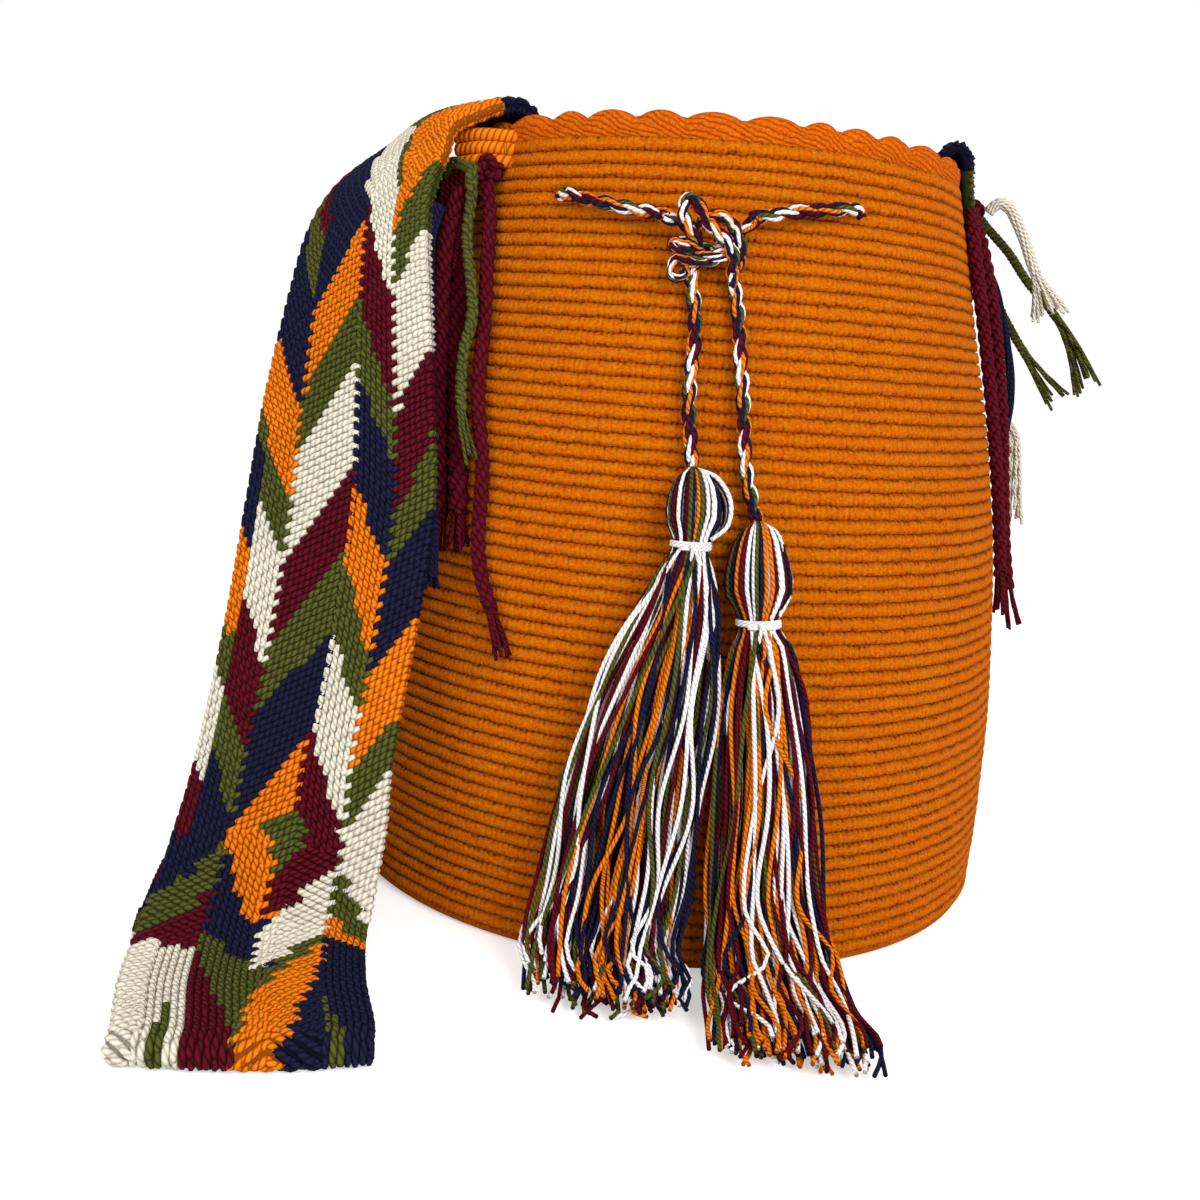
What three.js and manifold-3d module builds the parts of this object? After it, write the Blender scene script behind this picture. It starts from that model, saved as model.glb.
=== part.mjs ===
// Wayuu mochila: a crocheted cylinder bag with a woven shoulder strap and a tasselled drawstring.
// Millimetres, +Z up, the origin at the centre of the base. The front of the bag faces -Y.
// Angles are in degrees about the bag's axis, 0 at the front and growing towards +X.

import * as THREE from 'three';
import { mergeVertices } from 'three/addons/utils/BufferGeometryUtils.js';
import Module from 'manifold-3d';

const wasm = await Module();
wasm.setup();

// Bag body: outer radius of the crochet at five heights, base to mouth
const bagHeight = 280;
const baseRadius = 131.2;
const lowerRadius = 130.8;
const middleRadius = 123.8;
const upperRadius = 110.1;
const mouthRadius = 93.7;
const wallThickness = 4.4;
const baseCorner = 4;
const rowPitch = 4.47;
const ridgeHeight = 0.55;
const grooveDepth = 0.75;
const bodySides = 24;
const rimHeight = 8;
const scallopCount = 31;
const scallopHeight = 2.8;

// Shoulder strap
const strapWidth = 72;
const strapThickness = 4.2;
const strapCells = 6;
const strapCellLength = 12;
const weaveRelief = 0.35;
const foldRadius = 2.8;

// Drawstring, its eyelets and the ties of the strap
const drawstringDiameter = 4.2;
const eyeletShare = 0.9035;
const eyeletWidth = 17;
const eyeletRise = 6.4;
const eyeletPass = 4.5;
const frontEyeletAngle = 31;
const backEyeletAngle = 150;
const braidDiameter = 5.4;
const oliveBraidDiameter = 4.2;
const navyStrandDiameter = 3.6;
const leftTieRadius = 4.6;
const rightTieRadius = 3.6;

// Tassels
const tasselSides = 22;
const fluteDepth = 0.07;
const bindingThickness = 2.2;

// Everything that touches keeps this gap
const gap = 0.3;

const eyeletHeight = eyeletShare * bagHeight;

const orangeCotton = new THREE.MeshStandardMaterial({ color: '#c7650f', roughness: 0.9, metalness: 0 });
const strapCotton = new THREE.MeshStandardMaterial({ color: '#e6dfc8', roughness: 0.9, metalness: 0 });
const mixedCotton = new THREE.MeshStandardMaterial({ color: '#6b2a2c', roughness: 0.85, metalness: 0 });
const creamCotton = new THREE.MeshStandardMaterial({ color: '#ece6d3', roughness: 0.9, metalness: 0 });
const burgundyCotton = new THREE.MeshStandardMaterial({ color: '#4d0a16', roughness: 0.9, metalness: 0 });
const oliveCotton = new THREE.MeshStandardMaterial({ color: '#4a4b22', roughness: 0.9, metalness: 0 });
const navyCotton = new THREE.MeshStandardMaterial({ color: '#16162c', roughness: 0.9, metalness: 0 });

const mochila = new THREE.Group();

function addPiece(name, geometry, material) {
  const mesh = new THREE.Mesh(geometry, material);
  mesh.name = name;
  mochila.add(mesh);
  return mesh;
}

// A point from its angle about the bag's axis, its distance from the axis and its height
function polar(degrees, radius, height) {
  const angle = THREE.MathUtils.degToRad(degrees);
  return new THREE.Vector3(radius * Math.sin(angle), -radius * Math.cos(angle), height);
}

// Outer radius of the bag at a height: one smooth curve through the five radii
function bagRadius(height) {
  const radii = [baseRadius, lowerRadius, middleRadius, upperRadius, mouthRadius];
  const last = radii.length - 1;
  const place = THREE.MathUtils.clamp(height / bagHeight, 0, 1) * last;
  return radii.reduce((sum, radius, i) => {
    const others = radii.map((_, j) => j).filter((j) => j !== i);
    return sum + others.reduce((product, j) => product * (place - j) / (i - j), radius);
  }, 0);
}

const crestRadius = (height) => bagRadius(height) + ridgeHeight;
const innerRadius = (height) => bagRadius(height) - wallThickness;
// The inside is flat between its corners, so its nearest part lies a little further in
const innerReach = (height) => innerRadius(height) * Math.cos(Math.PI / bodySides);

// A hand-picked place about the bag: its angle, how far it stands off the wall, its share of the height
function placed([degrees, out, share]) {
  const height = share * bagHeight;
  return polar(degrees, crestRadius(height) + out, height);
}

// Collects triangles between rings and columns of points
function makeSkin() {
  const positions = [];
  const triangles = [];
  const add = (point) => positions.push(point.x, point.y, point.z) / 3 - 1;

  // Joins two open chains of [index, key]: the first lies to the left of the second
  function zip(left, right) {
    let i = 0;
    let j = 0;
    while (i < left.length - 1 || j < right.length - 1) {
      const nextLeft = i < left.length - 1 ? left[i + 1][1] : Infinity;
      const nextRight = j < right.length - 1 ? right[j + 1][1] : Infinity;
      if (nextLeft <= nextRight) {
        triangles.push(left[i][0], right[j][0], left[i + 1][0]);
        i += 1;
      } else {
        triangles.push(left[i][0], right[j][0], right[j + 1][0]);
        j += 1;
      }
    }
  }

  // Joins two closed rings of points; the surface runs on from the first to the second
  function join(first, second) {
    const closed = (ring) => [...ring, ring[0]].map((index, i) => [index, i / ring.length]);
    zip(closed(second), closed(first));
  }

  function fan(centre, ring, outward) {
    ring.forEach((index, i) => {
      const next = ring[(i + 1) % ring.length];
      triangles.push(centre, ...(outward ? [index, next] : [next, index]));
    });
  }

  function geometry() {
    const result = new THREE.BufferGeometry();
    result.setAttribute('position', new THREE.Float32BufferAttribute(positions, 3));
    result.setIndex(triangles);
    return result;
  }
  return { add, zip, join, fan, geometry };
}

function ringOfPoints(skin, count, radiusAt, heightAt) {
  return Array.from({ length: count }, (_, i) => {
    const share = i / count;
    return skin.add(polar(360 * share, radiusAt(share), heightAt(share)));
  });
}

function toManifold(geometry) {
  const bare = geometry.clone();
  bare.deleteAttribute('normal');
  bare.deleteAttribute('uv');
  const merged = mergeVertices(bare, 1e-5);
  return new wasm.Manifold(new wasm.Mesh({
    numProp: 3,
    vertProperties: new Float32Array(merged.attributes.position.array),
    triVerts: new Uint32Array(merged.index.array),
  }));
}

function fromManifold(solid) {
  const mesh = solid.getMesh();
  const geometry = new THREE.BufferGeometry();
  geometry.setAttribute('position', new THREE.BufferAttribute(new Float32Array(mesh.vertProperties), 3));
  geometry.setIndex(new THREE.BufferAttribute(new Uint32Array(mesh.triVerts), 1));
  return geometry;
}

// The crocheted body: one spiral of rows from the base to the scalloped edge, with a smooth inside
function crochetedBody() {
  const skin = makeSkin();
  const wallTop = bagHeight - rimHeight;
  const flat = (value) => () => value;

  const baseCentre = skin.add(new THREE.Vector3(0, 0, 0));
  const baseRing = ringOfPoints(skin, bodySides, flat(baseRadius - baseCorner), flat(0));
  const cornerInset = 0.3 * baseCorner;
  const cornerRing = ringOfPoints(skin, bodySides, flat(baseRadius - cornerInset), flat(cornerInset));
  const footRing = ringOfPoints(skin, bodySides, flat(bagRadius(baseCorner)), flat(baseCorner));
  skin.fan(baseCentre, baseRing, false);
  skin.join(baseRing, cornerRing);
  skin.join(cornerRing, footRing);

  // Two points a row: one on the ridge of stitches, one in the groove between rows
  const topRing = ringOfPoints(skin, bodySides, flat(bagRadius(wallTop)), flat(wallTop));
  const columns = footRing.map((foot, i) => {
    const chain = [[foot, baseCorner]];
    const share = i / bodySides;
    for (let half = 0; half * rowPitch < 2 * bagHeight; half += 1) {
      const height = baseCorner + (half / 2 + share) * rowPitch;
      if (height < baseCorner + 0.35 * rowPitch || height > wallTop - 0.35 * rowPitch) {
        continue;
      }
      const radius = bagRadius(height) + (half % 2 ? ridgeHeight : -grooveDepth);
      chain.push([skin.add(polar(360 * share, radius, height)), height]);
    }
    chain.push([topRing[i], wallTop]);
    return chain;
  });
  columns.forEach((column, i) => skin.zip(column, columns[(i + 1) % bodySides]));

  // The edging: a round of small shells
  const edgeCount = scallopCount * 2;
  const shell = (share) => (Math.round(share * edgeCount) % 2 ? -scallopHeight : 0);
  const edgeRing = (radius, heightAt) => ringOfPoints(skin, edgeCount, flat(radius), heightAt);
  const shellFoot = wallTop + rimHeight / 4;
  const edgeRings = [
    edgeRing(crestRadius(shellFoot), flat(shellFoot)),
    edgeRing(crestRadius(bagHeight), (share) => bagHeight - 0.8 + shell(share)),
    edgeRing(bagRadius(bagHeight) - wallThickness / 2, (share) => bagHeight + shell(share)),
    edgeRing(innerRadius(bagHeight), (share) => bagHeight - 1.5 + shell(share)),
  ];
  skin.join(topRing, edgeRings[0]);
  edgeRings.slice(1).forEach((ring, i) => skin.join(edgeRings[i], ring));

  // Inside: a smooth wall and the floor
  const floorTop = wallThickness;
  let ring = edgeRings[edgeRings.length - 1];
  for (const share of [0.96, 0.84, 0.7, 0.55, 0.4, 0.25, 0.1]) {
    const height = floorTop + share * (bagHeight - floorTop);
    const next = ringOfPoints(skin, bodySides, flat(innerRadius(height)), flat(height));
    skin.join(ring, next);
    ring = next;
  }
  const floorRing = ringOfPoints(skin, bodySides, flat(innerRadius(floorTop) - baseCorner), flat(floorTop));
  skin.join(ring, floorRing);
  skin.fan(skin.add(new THREE.Vector3(0, 0, floorTop)), floorRing, true);

  // Eyelets: the cord passes slantwise through gaps between two rows
  let solid = toManifold(skin.geometry());
  for (const degrees of [-frontEyeletAngle, frontEyeletAngle, -backEyeletAngle, backEyeletAngle]) {
    const eyelet = new THREE.BoxGeometry(eyeletWidth, 6 * wallThickness, eyeletRise);
    eyelet.rotateZ(THREE.MathUtils.degToRad(degrees));
    const centre = polar(degrees, bagRadius(eyeletHeight) - wallThickness / 2, eyeletHeight);
    eyelet.translate(centre.x, centre.y, centre.z);
    solid = solid.subtract(toManifold(eyelet));
  }
  return fromManifold(solid);
}

addPiece('bag_body', crochetedBody(), orangeCotton);

// Course of the shoulder strap, from the left side of the rim to the right side.
// angle: of its centre line; out: beyond the seat on the bag's wall; share and up: the height, as a
// share of the bag's height and a length more; outer edge: how far it turns radially, round and up.
// The band's flat cells bridge the round wall, so it stands off a little more there
const chordSlack = 0.2;
const strapSeat = gap + strapThickness / 2 + weaveRelief;
const strapCourse = [
  // sewn inside the rim on the left, over the rim and down to the floor
  { angle: -72, inside: true, share: 1, up: -18, edge: [0, -1, 0] },
  { angle: -72, inside: true, share: 1, up: -8, edge: [0, -1, 0] },
  { angle: -72, inside: true, share: 1, up: 0, edge: [0, -1, 0] },
  { angle: -72, out: -7.7, share: 1, up: 5.2, edge: [0, -1, 0.02] },
  { angle: -71.5, out: -1, share: 1, up: 6.2, edge: [0, -1, 0.06] },
  { angle: -71, out: 7.7, share: 1, up: 4.2, edge: [0, -1, 0.12] },
  { angle: -69.6, out: 16, share: 1, up: -1.2, edge: [0.02, -1, 0.13] },
  { angle: -66.8, out: 18.5, share: 1, up: -10.5, edge: [0.11, -1, 0.12] },
  { angle: -63.1, out: 21.8, share: 1, up: -27, edge: [0.27, -0.96, 0.08] },
  { angle: -59.9, out: 22, share: 1, up: -43, edge: [0.34, -0.94, 0.03] },
  { angle: -56, out: 20, share: 0.765, up: 0, edge: [0.38, -0.92, -0.03] },
  { angle: -51.5, out: 15, share: 0.64, up: 0, edge: [0.47, -0.88, -0.08] },
  { angle: -47.5, out: 12.8, share: 0.52, up: 0, edge: [0.53, -0.85, -0.1] },
  { angle: -45.2, out: 15.8, share: 0.376, up: 0, edge: [0.54, -0.83, -0.14] },
  { angle: -43.2, out: 24, share: 0.21, up: 0, edge: [0.56, -0.82, -0.15] },
  { angle: -41.2, out: 28, share: 0, up: 33.5, edge: [0.63, -0.77, -0.09] },
  { angle: -40, out: 32.5, share: 0, up: 17.5, edge: [0.69, -0.72, -0.05] },
  { angle: -38.6, out: 37, share: 0, up: 9.8, edge: [0.74, -0.67, 0] },
  // lying forwards on its own return run, then turned under
  { angle: -36.6, out: 42.5, share: 0, up: 2 * foldRadius, edge: [0.765, -0.645, 0] },
  { angle: -31.9, out: 59.8, share: 0, up: 2 * foldRadius, edge: [0.695, -0.72, 0] },
  { angle: -26.8, out: 80, share: 0, up: 2 * foldRadius, edge: [0.62, -0.785, 0] },
  { angle: -26.4, out: 83, share: 0, up: 1.7 * foldRadius, edge: [0.61, -0.79, 0] },
  { angle: -26.2, out: 84, share: 0, up: foldRadius, edge: [0.61, -0.79, 0] },
  { angle: -26.4, out: 83, share: 0, up: 0.3 * foldRadius, edge: [0.61, -0.79, 0] },
  { angle: -26.8, out: 80, share: 0, up: 0, edge: [0.62, -0.785, 0] },
  // back along the floor on the left of the bag, leaning on the wall behind the run that hangs
  { angle: -31.9, out: 59.8, share: 0, up: 0, edge: [0.695, -0.72, 0] },
  { angle: -36.6, out: 42.5, share: 0, up: 0.2, edge: [0.765, -0.645, 0] },
  { angle: -43, out: 27, share: 0, up: 0.6, edge: [0.86, -0.51, -0.04] },
  { angle: -52, out: 11, share: 0, up: 0.4, edge: [0.91, -0.38, -0.16] },
  { angle: -64, out: 1.5, share: 0, up: 0.2, edge: [0.9, -0.14, -0.41] },
  { angle: -77, out: 0.6, share: 0, up: 0.2, edge: [0.85, 0, -0.53] },
  { angle: -91, out: 0.6, share: 0, up: 0.2, edge: [0.84, 0, -0.54] },
  { angle: -105, out: 0.6, share: 0, up: 0.2, edge: [0.82, 0, -0.57] },
  { angle: -118, out: 0.6, share: 0, up: 0.4, edge: [0.76, 0, -0.65] },
  { angle: -130, out: 0.8, share: 0, up: 0.6, edge: [0.62, 0, -0.78] },
  { angle: -140, out: 0.8, share: 0, up: 0.6, edge: [0.38, 0, -0.93] },
  { angle: -149, out: 0.8, share: 0, up: 0.4, edge: [0.1, 0, -0.99] },
  // up the back of the bag on a slant to the right side of the rim
  { angle: -159, out: 0.3, share: 0.15, up: 2, edge: [0, -0.22, -0.98] },
  { angle: -171, out: 0, share: 0.205, up: 0, edge: [0, -0.5, -0.87] },
  { angle: -184, out: 0, share: 0.3, up: 0, edge: [0, -0.65, -0.76] },
  { angle: -197, out: 0, share: 0.41, up: 0, edge: [0, -0.68, -0.73] },
  { angle: -210, out: 0, share: 0.53, up: 0, edge: [0, -0.7, -0.71] },
  { angle: -223, out: 0, share: 0.66, up: 0, edge: [0, -0.74, -0.67] },
  { angle: -236, out: 0, share: 0.78, up: 0, edge: [0, -0.8, -0.6] },
  { angle: -246.5, out: 0, share: 1, up: -34, edge: [0, -0.91, -0.41] },
  { angle: -253, out: 0, share: 1, up: -16, edge: [0, -0.99, -0.15] },
  { angle: -256, out: 0, share: 1, up: -4, edge: [0, -1, 0] },
  { angle: -257, out: -0.8, share: 1, up: 5.4, edge: [0, -1, 0] },
  { angle: -257, out: -4.8, share: 1, up: 8.4, edge: [0, -1, 0] },
  { angle: -257, out: -8.8, share: 1, up: 5, edge: [0, -1, 0] },
  { angle: -257, inside: true, share: 1, up: -3, edge: [0, -1, 0] },
  { angle: -257, inside: true, share: 1, up: -18, edge: [0, -1, 0] },
];

// One warp line of the strap, at a share of its width from the middle, -0.5 to 0.5
function warpLine(across) {
  const points = strapCourse.map(({ angle, out = 0, inside = false, share, up, edge }) => {
    const [turnOut, turnRound, turnUp] = edge;
    const offset = across * strapWidth;
    const lift = share === 0 ? strapSeat + Math.abs(turnUp) * strapWidth / 2 : 0;
    const height = share * bagHeight + up + lift + turnUp * offset;
    const insideSeat = innerReach(height) - strapSeat - 2 * chordSlack;
    const outsideSeat = crestRadius(height) + strapSeat + chordSlack;
    const centreRadius = (inside ? insideSeat : outsideSeat) + turnOut * strapWidth / 2 + out;
    const degrees = angle + THREE.MathUtils.radToDeg(turnRound * offset / centreRadius);
    return polar(degrees, centreRadius + turnOut * offset, height);
  });
  return new THREE.CatmullRomCurve3(points, false, 'centripetal');
}

// The woven band: a closed skin round the warp lines, its cells raised and sunk in turn
function wovenBand() {
  const warps = Array.from({ length: strapCells + 1 }, (_, i) => warpLine(i / strapCells - 0.5));
  const spans = strapCourse.length - 1;
  const middle = warps[strapCells / 2];
  const stations = [0];
  for (let i = 0; i < spans; i += 1) {
    const length = middle.getPoint(i / spans).distanceTo(middle.getPoint((i + 1) / spans));
    const steps = Math.max(1, Math.round(length / strapCellLength));
    for (let step = 1; step <= steps; step += 1) {
      stations.push((i + step / steps) / spans);
    }
  }
  const grid = stations.map((station) => warps.map((warp) => warp.getPoint(station)));
  const normalAt = (s, w) => {
    const along = grid[Math.min(s + 1, grid.length - 1)][w].clone().sub(grid[Math.max(s - 1, 0)][w]);
    const across = grid[s][Math.min(w + 1, strapCells)].clone().sub(grid[s][Math.max(w - 1, 0)]);
    return along.cross(across).normalize();
  };
  const skin = makeSkin();
  const rings = grid.map((row, s) => {
    const face = (side) => row.map((point, w) => {
      const edge = w === 0 || w === strapCells;
      const relief = edge ? -0.3 * strapThickness : ((s + w) % 2 ? weaveRelief : -weaveRelief);
      return skin.add(point.clone().addScaledVector(normalAt(s, w), side * (strapThickness / 2 + relief)));
    });
    return [...face(1), ...face(-1).reverse()];
  });
  const closed = (ring) => [...ring, ring[0]].map((index, i) => [index, i]);
  rings.slice(1).forEach((ring, i) => skin.zip(closed(rings[i]), closed(ring)));
  const caps = [[rings[0], true], [rings[rings.length - 1], false]];
  for (const [ring, last] of caps) {
    const half = ring.length / 2;
    const top = ring.slice(0, half).map((index, i) => [index, i]);
    const bottom = ring.slice(half).reverse().map((index, i) => [index, i]);
    skin.zip(last ? bottom : top, last ? top : bottom);
  }
  return skin.geometry();
}

addPiece('shoulder_strap', wovenBand(), strapCotton);

// A plain round cord through hand-picked places
const cordSides = 8;

function cordGeometry(places, diameter, stepLength) {
  const path = new THREE.CatmullRomCurve3(places.map(placed), false, 'centripetal');
  const section = new THREE.Shape();
  for (let i = 0; i < cordSides; i += 1) {
    const angle = 2 * Math.PI * i / cordSides;
    const x = diameter / 2 * Math.cos(angle);
    const y = diameter / 2 * Math.sin(angle);
    if (i === 0) {
      section.moveTo(x, y);
    } else {
      section.lineTo(x, y);
    }
  }
  section.closePath();
  const steps = Math.max(4, Math.round(path.getLength() / stepLength));
  return new THREE.ExtrudeGeometry(section, { steps, extrudePath: path, curveSegments: 1 });
}

function addCord(name, places, diameter, material, stepLength = 2.6 * diameter) {
  return addPiece(name, cordGeometry(places, diameter, stepLength), material);
}

// The drawstring runs inside the wall from each front eyelet to the back, and shows at front and back
const cordRadius = drawstringDiameter / 2;
const insideStandOff = innerReach(eyeletHeight) - crestRadius(eyeletHeight) - gap - cordRadius - 0.7;
const outsideStandOff = gap + cordRadius + 0.4;
const fromKnotToLeftEyelet = [
  [-5.8, 8.4, 0.876], [-9.1, 5.6, 0.881], [-12.5, 4.2, 0.884], [-17.1, 3.8, 0.889], [-21.8, 4, 0.894],
  [-26.2, 3.6, 0.9],
];
const fromRightEyeletToKnot = [
  [26.2, 3.9, 0.905], [21.8, 4.5, 0.901], [17.1, 4.3, 0.896], [13.1, 4.8, 0.891], [10.2, 6.1, 0.886],
  [7.1, 8.6, 0.881],
];

function threadedRoute() {
  const arc = (from, to, standOff) => {
    const count = Math.max(2, Math.round(Math.abs(to - from) / 9));
    const angles = Array.from({ length: count + 1 }, (_, i) => from + (to - from) * i / count);
    return angles.map((angle) => [angle, standOff, eyeletShare]);
  };
  return [
    ...fromKnotToLeftEyelet,
    ...arc(-frontEyeletAngle - eyeletPass, -backEyeletAngle + eyeletPass, insideStandOff),
    ...arc(-backEyeletAngle - eyeletPass, backEyeletAngle - 360 + eyeletPass, outsideStandOff),
    ...arc(backEyeletAngle - 360 - eyeletPass, frontEyeletAngle - 360 + eyeletPass, insideStandOff),
    ...fromRightEyeletToKnot,
  ];
}

addCord('drawstring_cord', threadedRoute(), drawstringDiameter, mixedCotton, 2.9 * drawstringDiameter);

// The knot at the front, as one lump that the four ends meet
const knotHalfWidth = 12.5;
const knotHalfDepth = 6;
const knotHalfHeight = 13.5;
const knot = new THREE.SphereGeometry(1, 12, 9);
knot.scale(knotHalfWidth, knotHalfDepth, knotHalfHeight);
addPiece('drawstring_knot', knot, mixedCotton).position.copy(placed([0.5, knotHalfDepth + 4 * gap, 0.859]));

addCord('drawstring_tail_left', [
  [-2.1, 4.2, 0.812], [-1.3, 2.9, 0.789], [-0.7, 3.5, 0.764], [-0.5, 3.6, 0.736], [-0.6, 3.6, 0.704],
  [-0.5, 3.7, 0.671], [0, 3.8, 0.643], [0.5, 4, 0.618], [0.8, 5.3, 0.599],
], drawstringDiameter, mixedCotton);

addCord('drawstring_tail_right', [
  [4.6, 4.7, 0.818], [5.7, 3.2, 0.791], [6.4, 3.5, 0.761], [6.9, 3.8, 0.729], [7.5, 4, 0.693],
  [8, 4, 0.657], [8.5, 4, 0.621], [9.1, 4.1, 0.589], [10.1, 4.2, 0.564], [10.7, 5.4, 0.544],
], drawstringDiameter, mixedCotton);

// A tassel: a head, a bound neck and a skirt of strands that reaches the floor.
// Each row is the place of the centre, then the half width and the half depth of the bundle.
const leftTassel = [
  [1, 6.1, 0.597, 2.6, 2.6], [1.2, 8.2, 0.586, 6.6, 6.2], [1.5, 9.9, 0.564, 9, 8.6],
  [1.6, 10.4, 0.541, 8.8, 8.4], [1.5, 10.5, 0.526, 6.2, 6.2], [1.5, 10.1, 0.51, 6.2, 6.2],
  [1.3, 11.2, 0.493, 8.4, 7.6], [0.8, 11.7, 0.45, 13, 9], [-1.2, 11.4, 0.35, 20, 9],
  [-3.2, 11.3, 0.236, 24, 9], [-4.4, 11.6, 0.129, 25.5, 9.2], [-4.8, 17.5, 0.054, 27, 8.6],
  [-3.8, 26.4, 0.031, 26.5, 6.6], [-3.1, 35.3, 0.023, 25.5, 5], [-2.6, 41.3, 0.019, 24.5, 3.2],
];
const rightTassel = [
  [10.7, 6.4, 0.542, 2.8, 2.8], [10.7, 8.5, 0.531, 7, 6.6], [10.7, 10.3, 0.504, 10, 9.2],
  [11, 10.9, 0.47, 11, 9.6], [11.1, 11.1, 0.446, 6.8, 6.8], [11.2, 10.9, 0.429, 6.8, 6.8],
  [11.6, 12.2, 0.412, 9.6, 8.2], [12.2, 12.8, 0.35, 14, 9], [13.6, 13.1, 0.236, 17, 9.2],
  [14.7, 13.6, 0.118, 20, 9.2], [15.4, 20.4, 0.054, 23, 8.4], [15.3, 32.9, 0.031, 24, 6.8],
  [14.7, 51.1, 0.024, 26.5, 5.2], [13.7, 65.7, 0.019, 25, 3.2],
];
const neckRow = 4;

function tasselGeometry(rows) {
  const centres = rows.map(placed);
  const skin = makeSkin();
  const rings = rows.map(([, , , halfWidth, halfDepth], i) => {
    const next = centres[Math.min(i + 1, rows.length - 1)];
    const along = next.clone().sub(centres[Math.max(i - 1, 0)]).normalize();
    const side = new THREE.Vector3(1, 0, 0).addScaledVector(along, -along.x).normalize();
    const front = along.clone().cross(side);
    const fluted = i > 0 && i !== neckRow && i !== neckRow + 1;
    return Array.from({ length: tasselSides }, (_, j) => {
      const angle = 2 * Math.PI * j / tasselSides;
      const swell = fluted && j % 2 ? 1 - fluteDepth : 1;
      const point = centres[i].clone().addScaledVector(side, halfWidth * swell * Math.cos(angle));
      return skin.add(point.addScaledVector(front, halfDepth * swell * Math.sin(angle)));
    });
  });
  rings.slice(1).forEach((ring, i) => skin.join(rings[i], ring));
  skin.fan(skin.add(centres[0]), rings[0], false);
  skin.fan(skin.add(centres[rows.length - 1]), rings[rings.length - 1], true);
  return skin.geometry();
}

// A thread wound round the neck
function bindingGeometry(rows) {
  const neckRadius = rows[neckRow][3];
  const half = bindingThickness / 2;
  const profile = [];
  for (let i = 0; i <= 6; i += 1) {
    const angle = Math.PI * i / 3;
    const radius = neckRadius + gap + half + half * Math.cos(angle);
    profile.push(new THREE.Vector2(radius, half * Math.sin(angle)));
  }
  const ring = new THREE.LatheGeometry(profile, 18);
  const upper = placed(rows[neckRow]);
  const lower = placed(rows[neckRow + 1]);
  const axis = upper.clone().sub(lower).normalize();
  ring.applyQuaternion(new THREE.Quaternion().setFromUnitVectors(new THREE.Vector3(0, 1, 0), axis));
  const centre = upper.add(lower).multiplyScalar(0.5);
  ring.translate(centre.x, centre.y, centre.z);
  return ring;
}

for (const [side, rows] of [['left', leftTassel], ['right', rightTassel]]) {
  addPiece(`tassel_${side}`, tasselGeometry(rows), mixedCotton);
  addPiece(`tassel_binding_${side}`, bindingGeometry(rows), creamCotton);
}

// The strap's warp ends are tied through the rim at each side: a small knot, and its braids hang below
const leftTie = new THREE.IcosahedronGeometry(leftTieRadius, 1);
addPiece('tie_knot_left', leftTie, burgundyCotton).position.copy(placed([-48.7, leftTieRadius + gap, 0.934]));
const rightTie = new THREE.IcosahedronGeometry(rightTieRadius, 1);
addPiece('tie_knot_right', rightTie, burgundyCotton).position.copy(placed([94.8, 9.2, 0.961]));

addCord('left_braid_burgundy_a', [
  [-49.1, 13.5, 0.907], [-50, 13.1, 0.868], [-49.4, 12.4, 0.818], [-47.5, 9.5, 0.736], [-45, 6.5, 0.65],
  [-42.2, 4.5, 0.564], [-40.8, 3.4, 0.504], [-40.2, 2.9, 0.457],
], braidDiameter, burgundyCotton);

addCord('left_braid_burgundy_b', [
  [-51.6, 6, 0.905], [-54.3, 4.5, 0.868], [-52.4, 3.8, 0.821], [-47.1, 3.4, 0.736], [-42.4, 3.1, 0.65],
  [-38.4, 3.4, 0.568], [-36.4, 3.4, 0.507], [-35.6, 3, 0.468],
], braidDiameter, burgundyCotton);

addCord('left_braid_burgundy_c', [
  [-48, 4.9, 0.917], [-45.6, 3.7, 0.879], [-42.9, 3.4, 0.821], [-40.1, 3.5, 0.761],
  [-38.7, 3.6, 0.714], [-37.4, 3.5, 0.664], [-34.8, 3.3, 0.607], [-33.3, 3.4, 0.575],
  [-32.4, 3.5, 0.536], [-31.7, 3.4, 0.489], [-30.4, 3.6, 0.454], [-28.3, 3.3, 0.421],
  [-25.8, 3.4, 0.381], [-24.5, 3.4, 0.353],
], braidDiameter, burgundyCotton);

addCord('left_braid_olive', [
  [-48.2, 11.6, 0.933], [-46.2, 14.3, 0.921], [-45.9, 13.2, 0.907], [-46.6, 11.2, 0.889],
  [-46, 10.5, 0.854], [-44.2, 10.1, 0.825], [-41.4, 9.6, 0.786], [-39.7, 9.2, 0.75], [-40, 9, 0.714],
  [-38.9, 9.3, 0.675], [-37, 9.1, 0.63], [-34.8, 9.6, 0.602], [-33.2, 8.7, 0.575],
], oliveBraidDiameter, oliveCotton);

addCord('left_strands_navy', [
  [-48.4, 21.4, 0.882], [-48.1, 22.4, 0.85], [-46.9, 20.6, 0.793], [-44.9, 18, 0.732],
  [-42.7, 15.1, 0.65], [-40.6, 12.1, 0.564], [-38.8, 9.6, 0.482], [-37.8, 8.1, 0.421],
], navyStrandDiameter, navyCotton);

addCord('right_braid_burgundy_a', [
  [84.2, 4.4, 0.95], [80.7, 5.2, 0.914], [79.5, 5.1, 0.839], [79.9, 4.9, 0.768], [80.3, 4.6, 0.699],
  [80.6, 4.1, 0.629], [80.8, 3.9, 0.561], [81, 3.7, 0.493], [81.6, 3.5, 0.436], [81.9, 3.3, 0.4],
], braidDiameter, burgundyCotton);

addCord('right_braid_burgundy_b', [
  [91.1, 7.5, 0.941], [87.6, 7.2, 0.911], [85.7, 8.3, 0.836], [85.6, 8.4, 0.768], [85.6, 8, 0.698],
  [85.6, 7, 0.629], [85.6, 6.2, 0.557], [85.8, 6.2, 0.489], [86.2, 8, 0.421], [86.7, 10.5, 0.375],
], braidDiameter, burgundyCotton);

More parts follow.
